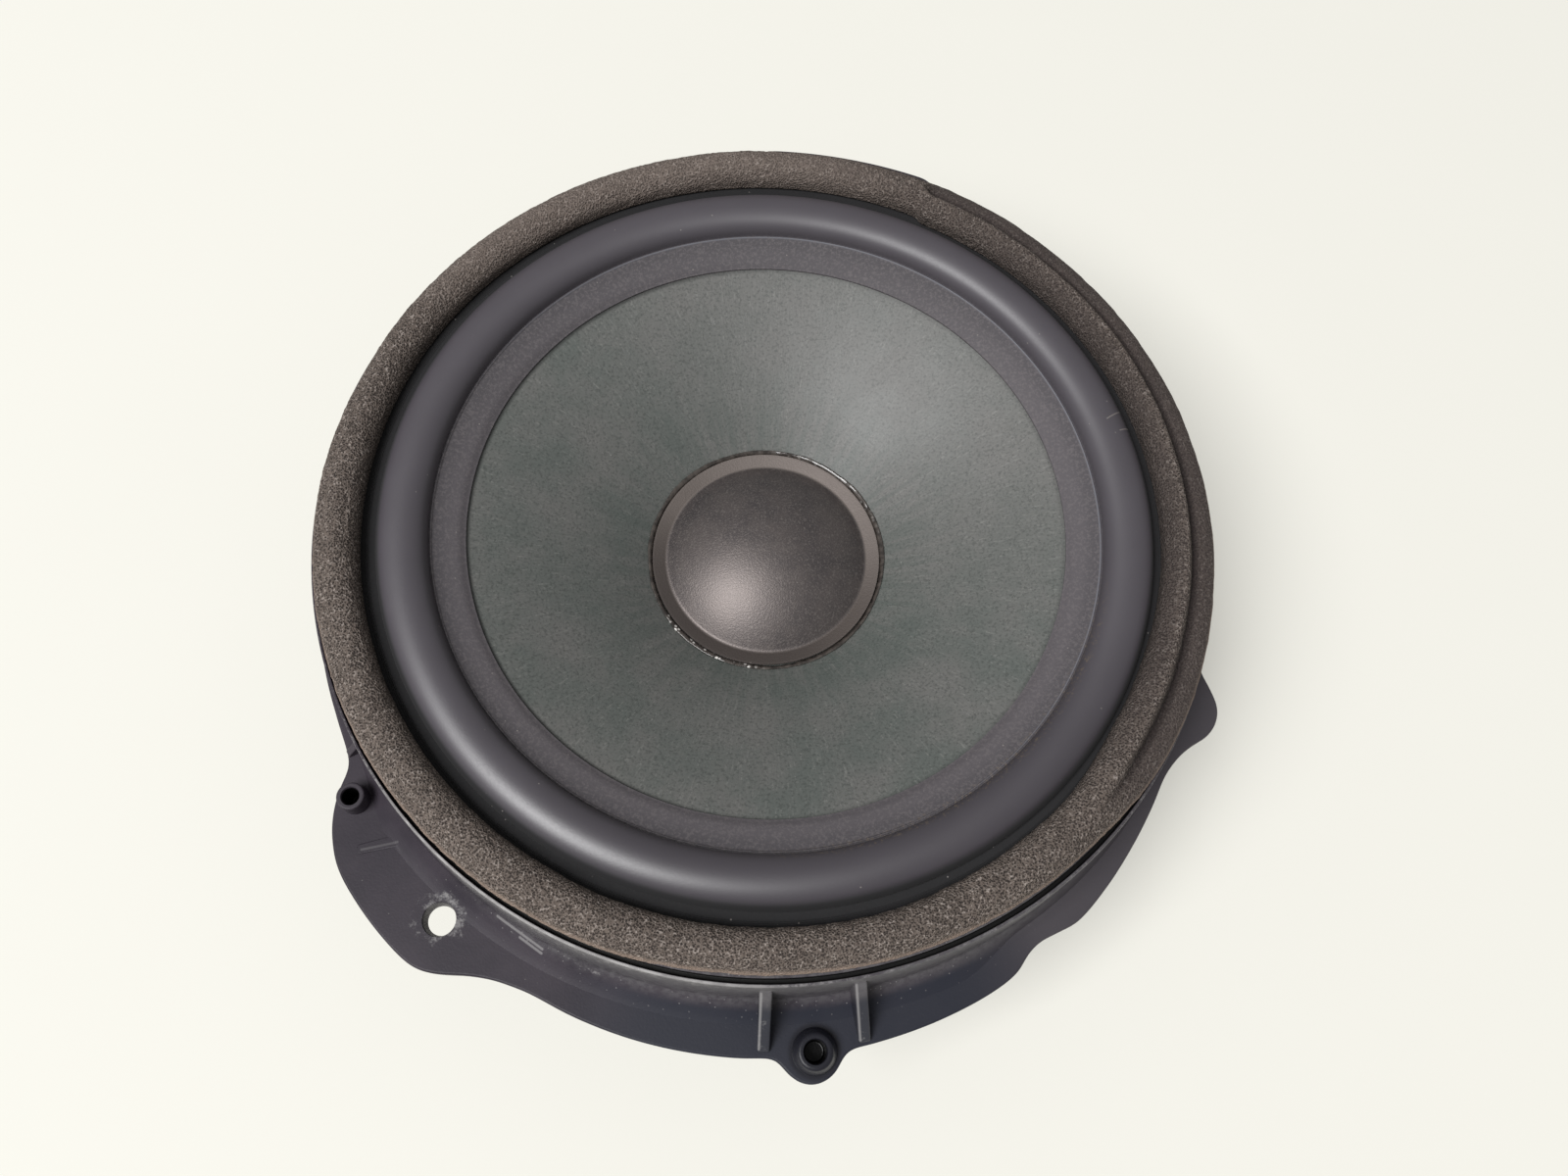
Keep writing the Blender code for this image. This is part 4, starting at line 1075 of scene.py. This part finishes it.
for angle in GUSSET_ANGLES:
    fuse(basket, "UNION", "gusset", radial(plate(rounded(GUSSET, 0.5), -1.1, 1.1, 0.45), angle))
small = plate(rounded(SMALL_GUSSET, 0.4), -0.7, 0.7, 0.25)
fuse(basket, "UNION", "small_gusset", radial(small, SMALL_ANGLE))
boss = [(0, 49.4), (4.2, 49.4), (4.0, 51.5), (3.1, BOSS_TOP), (0, BOSS_TOP)]
fuse(basket, "UNION", "boss", post(boss, BOSS, 64, 0.5))
peg = [(0, 49.4), (2.9, 49.4), (2.6, 51.6), (2.55, PEG_TOP), (0, PEG_TOP)]
fuse(basket, "UNION", "peg", post(peg, PEG))
pad = [(0, 50.1), (7.2, 50.1), (5.6, 50.95), (0, 50.95)]
for centre in (NEAR_HOLE, FAR_HOLE):
    fuse(basket, "UNION", "pad", post(pad, centre, 96, 0.5))

rib_ends = np.array([polar(96.6, 213.9), polar(86.4, 217.2)])
rib_run = rib_ends[1] - rib_ends[0]
rib_side = np.array([-rib_run[1], rib_run[0]]) / np.linalg.norm(rib_run)
rib_half = np.array([[0.9], [1.2]]) * rib_side
low_rib = rounded([*(rib_ends - rib_half), *(rib_ends + rib_half)[::-1]], 0.6)
fuse(basket, "UNION", "low_rib", plate(low_rib, 50.0, 51.2, 0.22))

web = [(-WEB_IN, -WEB_HALF), (-WEB_OUT, -WEB_HALF), (-WEB_OUT, WEB_HALF), (-WEB_IN, WEB_HALF)]
fuse(basket, "UNION", "web", plate(rounded(web, 0.8), 56.2, 58.6, 0.3))
for centre, foot, radius, low, high in (
    (NEAR_HOLE, 2.4, 2.95, 46.0, 51.1), (FAR_HOLE, 2.4, 2.95, 46.0, 51.1),
    (BOSS, 1.8, BOSS_BORE, 49.0, BOSS_TOP), (PEG, 1.4, PEG_BORE, 49.0, PEG_TOP),
):
    fuse(basket, "DIFFERENCE", "bore", bore(centre, foot, radius, low, high))
for k in range(SEAT_HOLES):
    centre = polar(SEAT_R, 360.0 * (k + 0.5) / SEAT_HOLES)
    fuse(basket, "DIFFERENCE", "seat_hole", bore(centre, 2.3, 2.3, 24.0, 28.9, 24))
merge(basket.data)
soften(basket.data, 34.0)
facing = np.empty(len(basket.data.polygons) * 3, np.float32)
basket.data.polygons.foreach_get("normal", facing)
basket.data.polygons.foreach_set("use_smooth", np.abs(facing[2::3]) < 0.9995)
triangles = sum(len(polygon.vertices) - 2 for polygon in basket.data.polygons)
print("basket:", len(basket.data.polygons), "faces,", triangles, "triangles")

# %% [markdown]
# Handling has rubbed the moulding: the rim's outer edge is worn pale, the skirt below it is scuffed, the
# gussets are a little pale on top, and the near screw has frosted the pad round its hole. Painted light joins
# the wear: a painted highlight on the rim's edge and painted sheen on the skirt, both strongest from the left
# round to the front, and paler left edges on the gussets. Where that happens is a rule of place, so it is
# worked out from the finished points and stored as one number for each of them. A second number marks
# painted shade in the groove between foam and rim and down the bores of boss and peg.

# %% Wear on the basket
spot = place_of(basket)
(spot_r, spot_a), spot_z = round_of(spot), spot[:, 2]
# Rim's outer edge: pale wear all round plus a painted highlight, strongest from the left round to the front.
lamp_side_highlight = 0.38 + 0.46 * band(spot_a, 205.0, 18.0, 274.0, 18.0)
wear_and_sheen = 1.4 * lamp_side_highlight * band(spot_r, 85.12, 0.06, 85.62, 0.08) * ease((spot_z - 67.2) / 0.4)
skirt = band(spot_r, 85.5, 0.2, 90.0, 2.4) * (spot_z > FLANGE_Z) * (spot_z < 67.2)
# Painted sheen on the skirt below the rim, strongest on the same side.
wear_and_sheen = np.maximum(wear_and_sheen, 0.75 * lamp_side_highlight * skirt * ease((spot_z - 50.0) / 16.0))
wear_and_sheen = np.maximum(wear_and_sheen, 0.62 * skirt * near(spot_r, 88.0, 1.6) * near(spot_a, 243.5, 4.5))
for angle, corners, blur, tip_wear in (
    *((angle, GUSSET, 0.9, 0.34) for angle in GUSSET_ANGLES), (SMALL_ANGLE, SMALL_GUSSET, 1.0, 0.0),
):
    (tip_r, tip_z), (top_r, top_z) = corners[2:]
    side = spot_r * np.sin(np.radians(spot_a - angle))
    on_top = near(spot_z, tip_z + (tip_r - spot_r) * (top_z - tip_z) / (tip_r - top_r), blur)
    # Gusset tops are paler along their left edges, which face the lamp: partly wear, partly painted light.
    on_edge = 0.06 + 0.16 * ease((0.3 - side) / 0.8)
    tip = tip_wear * ease((spot_r - 93.8) / 0.8)
    wear_and_sheen = np.maximum(wear_and_sheen, (on_edge * on_top + tip) * (np.abs(side) < 1.3) * (spot_z > 51.1))
for centre, level in ((NEAR_HOLE, 0.72), (FAR_HOLE, 0.5), (BOSS, 0.30), (PEG, 0.3)):
    away = np.hypot(*(spot[:, :2] - centre).T)
    wear_and_sheen = np.maximum(wear_and_sheen, level * near(away, 4.0, 1.6) * (spot_z > 50.5))
# Painted shade: the groove between foam and rim, and the bores of boss and peg, are marked for black.
painted_gap_shade = band(spot_r, 83.9, 0.15, 85.12, 0.08) * ease((67.7 - spot_z) / 0.3) * (spot_z > 66.0)
for centre, radius, mouth in ((BOSS, BOSS_BORE, BOSS_TOP), (PEG, PEG_BORE, PEG_TOP)):
    away = np.hypot(*(spot[:, :2] - centre).T)
    painted_gap_shade = np.maximum(painted_gap_shade, ease((radius + 0.25 - away) / 0.2) * ease((mouth - 0.2 - spot_z) / 0.5))
mark(basket, "painted_gap_shade", painted_gap_shade)
mark(basket, "wear_and_sheen", wear_and_sheen)
print("worn points:", int(np.sum(wear_and_sheen > 0.3)), "of", len(wear_and_sheen))

# %% [markdown]
# The plastic is black with a breath of purple, satin from the mould's fine grain. Worn places turn pale and
# dull, and so do the rim's outer edge and the skirt, where painted highlight and painted sheen join the wear:
# the stored number for wear and sheen decides where, and the shared patches break it up. Broad tints follow
# the direction from the axis, lighter on the right and cooler in front. Dust and painted sheen grey the
# skirt, painted sheen lightens a band in front just outside the rim, and a few pale scratches run along
# gussets, rib and skirt. Painted shade turns the groove beside the foam and the bores of boss and peg black.

# %% Moulded plastic
SCUFF_WIDTH, SCUFF_COLOUR = 0.32, (0.40, 0.39, 0.39)
SCUFFS = (
    ((87.3, 231.4), (88.0, 237.9), 0.5), ((88.2, 234.9), (88.7, 238.0), 0.5),
    ((86.4, 264.1), (95.2, 264.1), 0.5), ((86.4, 274.9), (95.2, 274.9), 0.5),
    ((90.2, 216.1), (96.0, 214.2), 0.16),
)


def away_from(tree, place, centre):
    """Distance in millimetres from an upright line through a point."""
    return effect(tree, round_place, Vector=vectors(tree, "SUBTRACT", place, (*(centre * MM), 0.0)))["Radius"]


def plastic_finish(name, dark, light):
    """Satin black plastic: cloudy base, fine grain, dust, pale patches where wear and painted sheen are
    stored.
    """
    made, tree, shader = finish_of(name, Specular_IOR_Level=0.25)
    place = own_place(tree)
    where = effect(tree, round_place, Vector=place)
    around, radius = where["Around"], where["Radius"]
    grain = grain_of(tree, place, 0.45)
    clouds = noise(tree, place, 18.0, 4.0, 0.6)
    wear_and_sheen = stored(tree, "wear_and_sheen")
    patches = span(tree, noise(tree, place, 4.5), 0.28, 0.55)
    frost = times(tree, span(tree, away_from(tree, place, NEAR_HOLE), 9.0, 3.0), patches, 0.74)
    # Pale rubbed patches: wear, painted sheen on the skirt, and frost round the near hole.
    rubbed_and_sheen = effect(tree, rubbed, Vector=place, Wear=maths(tree, "MAXIMUM", wear_and_sheen, frost), Size=1.6)["Mask"]
    broken = times(tree, noise(tree, place, 2.6, 3.0, 0.6), 0.9)
    # The pale line on the rim's outer edge: wear and a painted highlight.
    pale_edge_and_highlight = span(tree, plus(tree, wear_and_sheen, broken, -0.45), 0.95, 1.35)
    polished = span(tree, away_from(tree, place, BOSS), 5.2, 4.2)
    # Dust and painted sheen on the skirt.
    skirt_dust_and_sheen = times(tree, span(tree, where["Height"], 52.0, 66.0), span(tree, radius, 85.4, 85.7))
    cool = times(tree, towards(tree, around, 270.0, 30.0), span(tree, radius, 87.5, 89.5))
    uneven = span(tree, noise(tree, place, 1.4, 4.0, 0.7), 0.38, 0.62, 0.25, 0.75)
    # A pale band in front, just outside the rim: dust and painted sheen, broken by noise.
    glow = times(tree, towards(tree, around, 268.0, 48.0), span(tree, radius, 89.4, 86.2), uneven)
    flecks = times(tree, dusted(tree, place, 0.9, 0.36, 0.19), towards(tree, around, 258.0, 46.0))
    colour = layered(
        tree, tint(tree, span(tree, clouds, 0.35, 0.65), dark, light),
        (dusted(tree, place, 2.4, 0.14, 0.06), 0.5, (0.22, 0.21, 0.20)),
        (skirt_dust_and_sheen, 0.55, (0.13, 0.125, 0.13)),
        (towards(tree, around, 335.0, 65.0), 0.75, (0.085, 0.078, 0.086)),
        (cool, 0.85, (0.024, 0.0275, 0.040)),
        (glow, 1.0, (0.150, 0.145, 0.152)),
        (times(tree, flecks, span(tree, radius, 93.0, 87.0)), 0.7, (0.30, 0.29, 0.29)),
        *((scratched(tree, place, *ends, SCUFF_WIDTH), most, SCUFF_COLOUR) for *ends, most in SCUFFS),
        (polished, 0.6, (0.016, 0.015, 0.018)),
        (rubbed_and_sheen, 0.8, (0.34, 0.33, 0.33)),
        (pale_edge_and_highlight, 1.0, (0.46, 0.45, 0.45)),
        # Painted shade: black in the groove beside the foam and down the bores.
        (stored(tree, "painted_gap_shade"), 1.0, (0.003, 0.003, 0.003)),
    )
    satin = plus(tree, times(tree, grain, 0.12), span(tree, clouds, 0.3, 0.7, 0.36, 0.44))
    rough = plus(tree, satin, times(tree, polished, -0.18), times(tree, rubbed_and_sheen, 0.2))
    wire(tree, shader, Base_Color=colour, Roughness=rough, Normal=relief(tree, grain, 0.03, 0.6))
    return made


moulded_plastic = plastic_finish("moulded_plastic", (0.036, 0.0300, 0.040), (0.053, 0.0440, 0.056))
dress(basket, moulded_plastic)
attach(basket, "frame")
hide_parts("basket")
print("basket dressed")

# %% [markdown]
# Behind the flange a thin flat ring of foam seals the speaker against the door. It is a rounded
# section carried round the axis, with gentle lumps on its underside, in a blacker foam than the gasket's.

# %% Rear seal
SEAL_IN, SEAL_OUT, SEAL_LOW, SEAL_HIGH = 85.5, 89.4, 44.7, 47.9
seal_corners = [(SEAL_IN, SEAL_LOW), (SEAL_OUT, SEAL_LOW), (SEAL_OUT, SEAL_HIGH), (SEAL_IN, SEAL_HIGH)]
seal_grid = turned(rounded(seal_corners, 0.7), 720)
swell = lumps(seal_grid, 1.6, 31) * 0.07 + lumps(seal_grid, 9.0, 32) * 0.08
seal_z = seal_grid[..., 2] + swell * (seal_grid[..., 2] < (SEAL_LOW + SEAL_HIGH) / 2.0)
seal_grid[..., 2] = np.clip(seal_z, SEAL_LOW, SEAL_HIGH)
seal = piece("flange_seal", seal_grid, ring=True, crease=75.0)
seal_foam, tree, shader, colour, field = foam_finish(
    "seal_foam", (0.036, 0.036, 0.038), (0.008, 0.008, 0.009), (0.11, 0.11, 0.11), 0.4
)
wire(tree, shader, Base_Color=colour, Normal=relief(tree, field["Height"], 0.2, 0.8))
dress(seal, seal_foam)
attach(seal, "frame")
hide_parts("rear_seal")
print("seal:", len(seal.data.polygons), "faces")

# %% [markdown]
# The motor is a steel yoke with a pole in its middle, a ferrite ring, and a steel top plate. All three are
# round, so each is a section carried round the axis. The steel is plated, with soft edges, faint turning
# lines, clouds in the plating and small dull spots; the ferrite is dark, finely ground and a little chipped.

# %% Motor pieces
yoke = [
    (0, 26.2), (16.6, 26.2), (17.4, 25.2), (17.4, 5.0), (39.0, 5.0),
    (39.0, 0.9), (38.1, 0.0), (9.0, 0.0), (8.2, 0.5), (0, 0.5),
]
yoke = rounded(yoke, [0.1, 0.5, 0.5, 0.6, 0.7, 0.6, 0.6, 0.3, 0.3, 0.1], ends=True)
motor_yoke = piece("motor_yoke", turned(yoke, 192))
ferrite_ring = rounded([(25.0, 5.2), (41.5, 5.2), (42.5, 6.2), (42.5, 19.4), (41.5, 20.4), (25.0, 20.4)], 0.5)
magnet_grid = turned(ferrite_ring, 192)
magnet_grid[..., :2] *= 1.0 - 0.0025 * np.maximum(lumps(magnet_grid, 2.6, 41) - 0.45, 0.0)[..., None]
motor_magnet = piece("motor_magnet", magnet_grid, ring=True)
front_plate = [(20.0, 20.5), (39.0, 20.5), (40.0, 21.5), (40.0, 25.8), (20.0, 25.8)]
front_plate = rounded(front_plate, [0.3, 0.6, 0.6, 0.7, 0.4])
motor_plate = piece("motor_plate", turned(front_plate, 192), ring=True)

plated_steel, tree, shader = finish_of("plated_steel", Metallic=1.0)
place = own_place(tree)
where = effect(tree, round_place, Vector=place)
rings = add(tree, "CombineXYZ", {0: where["Radius"], 1: where["Height"]}).outputs[0]
lines = add(tree, "TexNoise", {"Vector": rings, "Scale": 2.2, "Detail": 4.0}).outputs[0]
clouds = noise(tree, place, 7.0, 5.0, 0.6)
spots = span(tree, noise(tree, place, 1.6, 4.0, 0.7), 0.60, 0.74)
colour = tint(tree, clouds, (0.40, 0.392, 0.368), (0.50, 0.49, 0.46))
colour = layered(tree, colour, (spots, 0.6, (0.16, 0.135, 0.11)))
rough = plus(tree, span(tree, clouds, 0.3, 0.7, 0.28, 0.40), times(tree, spots, 0.25))
wire(tree, shader, Base_Color=colour, Roughness=rough, Normal=relief(tree, lines, 0.02, 0.5))

ferrite, tree, shader = finish_of("ferrite", Specular_IOR_Level=0.5)
place = own_place(tree)
grit = grain_of(tree, place, 0.6)
colour = tint(tree, noise(tree, place, 9.0, 5.0, 0.65), (0.030, 0.029, 0.031), (0.058, 0.056, 0.057))
rough = span(tree, grit, 0.2, 0.8, 0.48, 0.68)
wire(tree, shader, Base_Color=colour, Roughness=rough, Normal=relief(tree, grit, 0.05, 0.6))
for made, finish, slot, node in (
    (motor_yoke, plated_steel, "plated_steel", "t_yoke"),
    (motor_magnet, ferrite, "ferrite", "magnet"),
    (motor_plate, plated_steel, "plated_steel", "top_plate"),
):
    dress(made, finish)
    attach(made, "frame")
    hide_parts(node)
print("motor: yoke, ring and plate")

# %% [markdown]
# The spider is a disc of resin-dipped cloth pressed into waves. It centres the coil and bends with the cone.
# The waves are a cosine in radius, faded out at both flats; the weave is two sets of threads in the material.

# %% Spider
SPIDER_IN, SPIDER_OUT, SPIDER_MID, SPIDER_WAVES = 21.7, 45.3, 39.0, 4
spider_r = stations((NECK[0], 21.6, 5), (SPIDER_IN, SPIDER_OUT, 110), (45.8, 50.5, 6))
u = np.clip((spider_r - SPIDER_IN) / (SPIDER_OUT - SPIDER_IN), 0.0, 1.0)
spider_z = SPIDER_MID - 1.3 * np.cos(TURN * SPIDER_WAVES * u) * ease(8.0 * u) * ease(8.0 * (1.0 - u))
spider = piece("cloth_spider", turned(sheet(np.stack([spider_r, spider_z], 1), 0.6, thin=2), 240), ring=True)
keep_rest(spider)
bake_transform(spider)
follow_radius(spider)


def make_weave():
    """Plain weave: two sets of threads at right angles, one over the other by turns."""
    tree, given, out = group("plain_weave", {"Vector": "Vector", "Pitch": "Float"}, {"Height": "Float"})
    parts = add(tree, "SeparateXYZ", {0: given["Vector"]}).outputs
    pace = maths(tree, "DIVIDE", np.pi / MM, given["Pitch"])
    warp, weft = (maths(tree, "SINE", times(tree, part, pace)) for part in (parts[0], parts[1]))
    ridges = plus(tree, maths(tree, "ABSOLUTE", warp), maths(tree, "ABSOLUTE", weft))
    value = plus(tree, times(tree, warp, weft, 0.25), times(tree, ridges, 0.35), 0.1)
    tree.links.new(value, out["Height"])
    return tree


plain_weave = make_weave()
spider_cloth, tree, shader = finish_of("spider_cloth", Specular_IOR_Level=0.4)
place = own_place(tree, bends=True)
weave = effect(tree, plain_weave, Vector=place, Pitch=0.7)["Height"]
resin = noise(tree, place, 5.0, 4.0, 0.6)
colour = tint(tree, resin, (0.34, 0.19, 0.065), (0.47, 0.29, 0.12))
colour = tint(tree, span(tree, weave, 0.45, 0.15), colour, (0.17, 0.085, 0.028))
rough = span(tree, resin, 0.3, 0.7, 0.62, 0.86)
wire(tree, shader, Base_Color=colour, Roughness=rough, Normal=relief(tree, weave, 0.12, 0.9))
dress(spider, spider_cloth)
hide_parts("spider")
print("spider:", len(spider.data.polygons), "faces in", SPIDER_WAVES, "waves")

# %% [markdown]
# Two braided leads bring the current from the blades to the coil. Each runs level through a window and then
# drops to the cone's neck in one smooth curve. The tube's section is ribbed and turns as it goes, which makes
# the strands.

# %% Leads
LEAD_POINTS, LEAD_SIDES, LEAD_R = 220, 18, 0.6
LEAD_OUT, LEAD_IN, LEAD_HIGH, LEAD_DROP = 75.4, 22.3, 61.0, 2.7


def lead_tube(side):
    """Carry a ribbed circle along the lead: level first, then a smooth step down, ends drawn to a point."""
    along = np.linspace(0.0, 1.0, LEAD_POINTS)
    out = LEAD_OUT + (LEAD_IN - LEAD_OUT) * along
    end_z = cone_front(LEAD_IN) - LEAD_DROP
    up = LEAD_HIGH + (end_z - LEAD_HIGH) * ease((along - 0.15) / 0.85)
    slope = np.gradient(up, out)
    length = np.sqrt(1.0 + slope ** 2)
    travel = np.concatenate([[0.0], np.cumsum(np.hypot(np.diff(out), np.diff(up)))])
    turn = TURN * np.arange(LEAD_SIDES)[None] / LEAD_SIDES
    twist = 2.4 * travel[:, None]
    strand = 0.9 + 0.1 * np.cos(3.0 * turn + twist) * np.cos(3.0 * turn - twist)
    close = np.ones(LEAD_POINTS)
    close[[0, -1]] = 0.0
    radius = LEAD_R * strand * close[:, None]
    x = out[:, None] - radius * np.sin(turn) * (slope / length)[:, None]
    z = up[:, None] + radius * np.sin(turn) / length[:, None]
    y = side + radius * np.cos(turn)
    return np.stack([-x, -y, z], -1), travel[-1]


braid_metal, tree, shader = finish_of("tinsel_braid", Metallic=0.85)
place = own_place(tree, bends=True)
strands = noise(tree, place, 0.45)
colour = tint(tree, span(tree, strands, 0.35, 0.65), (0.34, 0.20, 0.10), (0.66, 0.50, 0.36))
rough = span(tree, strands, 0.3, 0.7, 0.32, 0.55)
wire(tree, shader, Base_Color=colour, Roughness=rough, Normal=relief(tree, strands, 0.08, 0.8))
for node, side in (("lead_positive", 4.5), ("lead_negative", -4.5)):
    tube, lead_length = lead_tube(side)
    lead = piece("braided_" + node, tube)
    keep_rest(lead)
    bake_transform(lead)
    dress(lead, braid_metal)
    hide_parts(node)
print("leads of", round(float(lead_length), 1), "mm")

# %% [markdown]
# The connector is a deep nylon socket below the web, with one wide and one narrow blade so that a plug fits
# one way only. The housing is a rounded rectangle carried up its outside and down into its socket in one
# skin. The blades are thin strips with tapered tips.

# %% Connector
def block(centre, half, curve):
    """A rounded rectangle round a centre."""
    signs = np.array([(-1.0, -1.0), (1.0, -1.0), (1.0, 1.0), (-1.0, 1.0)])
    return rounded(np.asarray(centre) + signs * np.asarray(half), curve)


HOUSING = (-76.7, 0.0)
SOCKET_TOP, SOCKET_FLOOR, SOCKET_MOUTH = 55.9, 52.9, 39.9
rows = [
    (3.0, SOCKET_TOP), (0.0, SOCKET_TOP), (0.0, SOCKET_MOUTH),
    (1.4, SOCKET_MOUTH), (1.4, SOCKET_FLOOR), (3.0, SOCKET_FLOOR),
]
rows = rounded(rows, 0.45, ends=True)
housing = piece("socket_housing", lofted(block(HOUSING, (4.7, 11.0), 1.0), rows))
mark(housing, "wear_and_sheen", 0.5 * near(place_of(housing)[:, 2], SOCKET_MOUTH, 0.8))
connector_nylon = plastic_finish("connector_nylon", (0.016, 0.016, 0.017), (0.024, 0.024, 0.025))
dress(housing, connector_nylon)
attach(housing, "frame")
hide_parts("connector_housing")

tinned_brass, tree, shader = finish_of("tinned_brass", Metallic=1.0)
place = own_place(tree)
lines = noise(tree, vectors(tree, "MULTIPLY", place, (1.0, 1.0, 0.08)), 0.4, 4.0)
stain = noise(tree, place, 2.4, 4.0)
colour = tint(tree, span(tree, stain, 0.4, 0.7), (0.68, 0.64, 0.56), (0.50, 0.44, 0.34))
rough = span(tree, lines, 0.3, 0.7, 0.2, 0.38)
wire(tree, shader, Base_Color=colour, Roughness=rough, Normal=relief(tree, lines, 0.02, 0.6))
rows = [(0.34, 43.9), (0.22, 43.9), (0.0, 45.3), (0.0, 62.0), (0.14, 62.2), (0.34, 62.2)]
rows = rounded(rows, 0.2, ends=True)
for node, side, half in (("terminal_positive", -4.5, 2.4), ("terminal_negative", 4.5, 1.4)):
    blade = piece("blade_" + node, lofted(block((HOUSING[0], side), (0.4, half), 0.12), rows), crease=28.0)
    dress(blade, tinned_brass)
    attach(blade, "frame")
    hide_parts(node)
print("socket and two blades")

# %% [markdown]
# The coil, its former and the four motor screws sit deep inside and their solids have the right shape, so
# they stay as they are and only get finishes: copper turns, amber film and the motor's plated steel.

# %% Finishes for the pieces inside
WIRE_PITCH = 0.3
former_film, tree, shader = finish_of("former_film", Specular_IOR_Level=0.5)
waves = noise(tree, own_place(tree), 3.0)
colour = tint(tree, waves, (0.24, 0.115, 0.030), (0.36, 0.19, 0.062))
wire(tree, shader, Base_Color=colour, Roughness=span(tree, waves, 0.3, 0.7, 0.28, 0.44))

copper_wire, tree, shader = finish_of("copper_wire", Metallic=1.0)
height = effect(tree, round_place, Vector=own_place(tree))["Height"]
turns = maths(tree, "ABSOLUTE", maths(tree, "SINE", times(tree, height, np.pi / WIRE_PITCH)))
colour = tint(tree, turns, (0.30, 0.10, 0.04), (0.72, 0.32, 0.16))
rough = span(tree, turns, 0.0, 1.0, 0.5, 0.28)
wire(tree, shader, Base_Color=colour, Roughness=rough, Normal=relief(tree, turns, 0.1, 0.9))

inside = {"coil_former": (former_film, "former_film"), "coil_winding": (copper_wire, "copper_wire")}
inside.update({f"motor_screw_{k}": (plated_steel, "plated_steel") for k in range(1, 5)})
for node, (finish, slot) in inside.items():
    dress(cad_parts[node], finish)
print("kept solids:", sorted(inside))

# %% [markdown]
# The floor is a wide pale sheet that the motor stands on. A large soft lamp stands to the left and a little
# in front, which puts the lights on the roll and the dome where the photograph has them. The room's light
# comes evenly from all sides. Together they make a white sheet just white, so colours show as written. To
# the camera the sheet also glows a little, which keeps its shadow as pale as a bright room would.

# %% Floor and light
FLOOR_HALF, FLOOR_GAP, FLOOR_GLOW = 3000.0, 0.2, 0.26
floor_mesh = bpy.data.meshes.new("floor")
corners = np.array([(-1, -1, 0), (1, -1, 0), (1, 1, 0), (-1, 1, 0)]) * FLOOR_HALF * MM
floor_mesh.from_pydata(corners - (0.0, 0.0, FLOOR_GAP * MM), [], [(0, 1, 2, 3)])
floor = show("floor", floor_mesh)
floor_finish, tree, shader = finish_of("pale_floor", Roughness=0.9, Specular_IOR_Level=0.1)
paper = noise(tree, own_place(tree), 60.0)
sheet_colour = tint(tree, paper, (0.972, 0.960, 0.885), (0.984, 0.972, 0.897))
wire(tree, shader, Base_Color=sheet_colour)
rays = add(tree, "LightPath").outputs
seen = maths(tree, "MAXIMUM", *(rays[f"Is {kind} Ray"] for kind in ("Camera", "Glossy", "Transmission")))
glow = add(tree, "Emission", {"Color": sheet_colour, "Strength": 1.0}).outputs[0]
both = add(tree, "MixShader", {0: times(tree, seen, FLOOR_GLOW), 1: shader.outputs[0], 2: glow})
tree.links.new(both.outputs[0], tree.nodes["Material Output"].inputs["Surface"])
floor_mesh.materials.append(floor_finish)

KEY_SHARE, ROOM_SHARE = 0.78, 0.24
LAMP_AIM = Vector((0.0, 0.0, 0.06))
LAMP_SIDE = Vector((-0.46, -0.26, 0.85)).normalized()
LAMP_DISTANCE, LAMP_SIZE = 3.6, 1.8
lamp = show("window_lamp", bpy.data.lights.new("window_lamp", "AREA"))
lamp.data.shape = "SQUARE"
lamp.data.size = LAMP_SIZE
lamp.data.energy = KEY_SHARE * np.pi ** 2 * LAMP_DISTANCE ** 2 / LAMP_SIDE.z
lamp.location = LAMP_SIDE * LAMP_DISTANCE + LAMP_AIM
lamp.rotation_mode = "QUATERNION"
lamp.rotation_quaternion = LAMP_SIDE.to_track_quat("Z", "Y")
world = bpy.data.worlds.new("room")
bpy.context.scene.world = world
world.use_nodes = True
world.node_tree.nodes["Background"].inputs["Color"].default_value = (1.0, 0.995, 0.985, 1.0)
world.node_tree.nodes["Background"].inputs["Strength"].default_value = ROOM_SHARE
bpy.context.scene.view_settings.view_transform = "Standard"
print("light on a white floor:", KEY_SHARE + ROOM_SHARE)
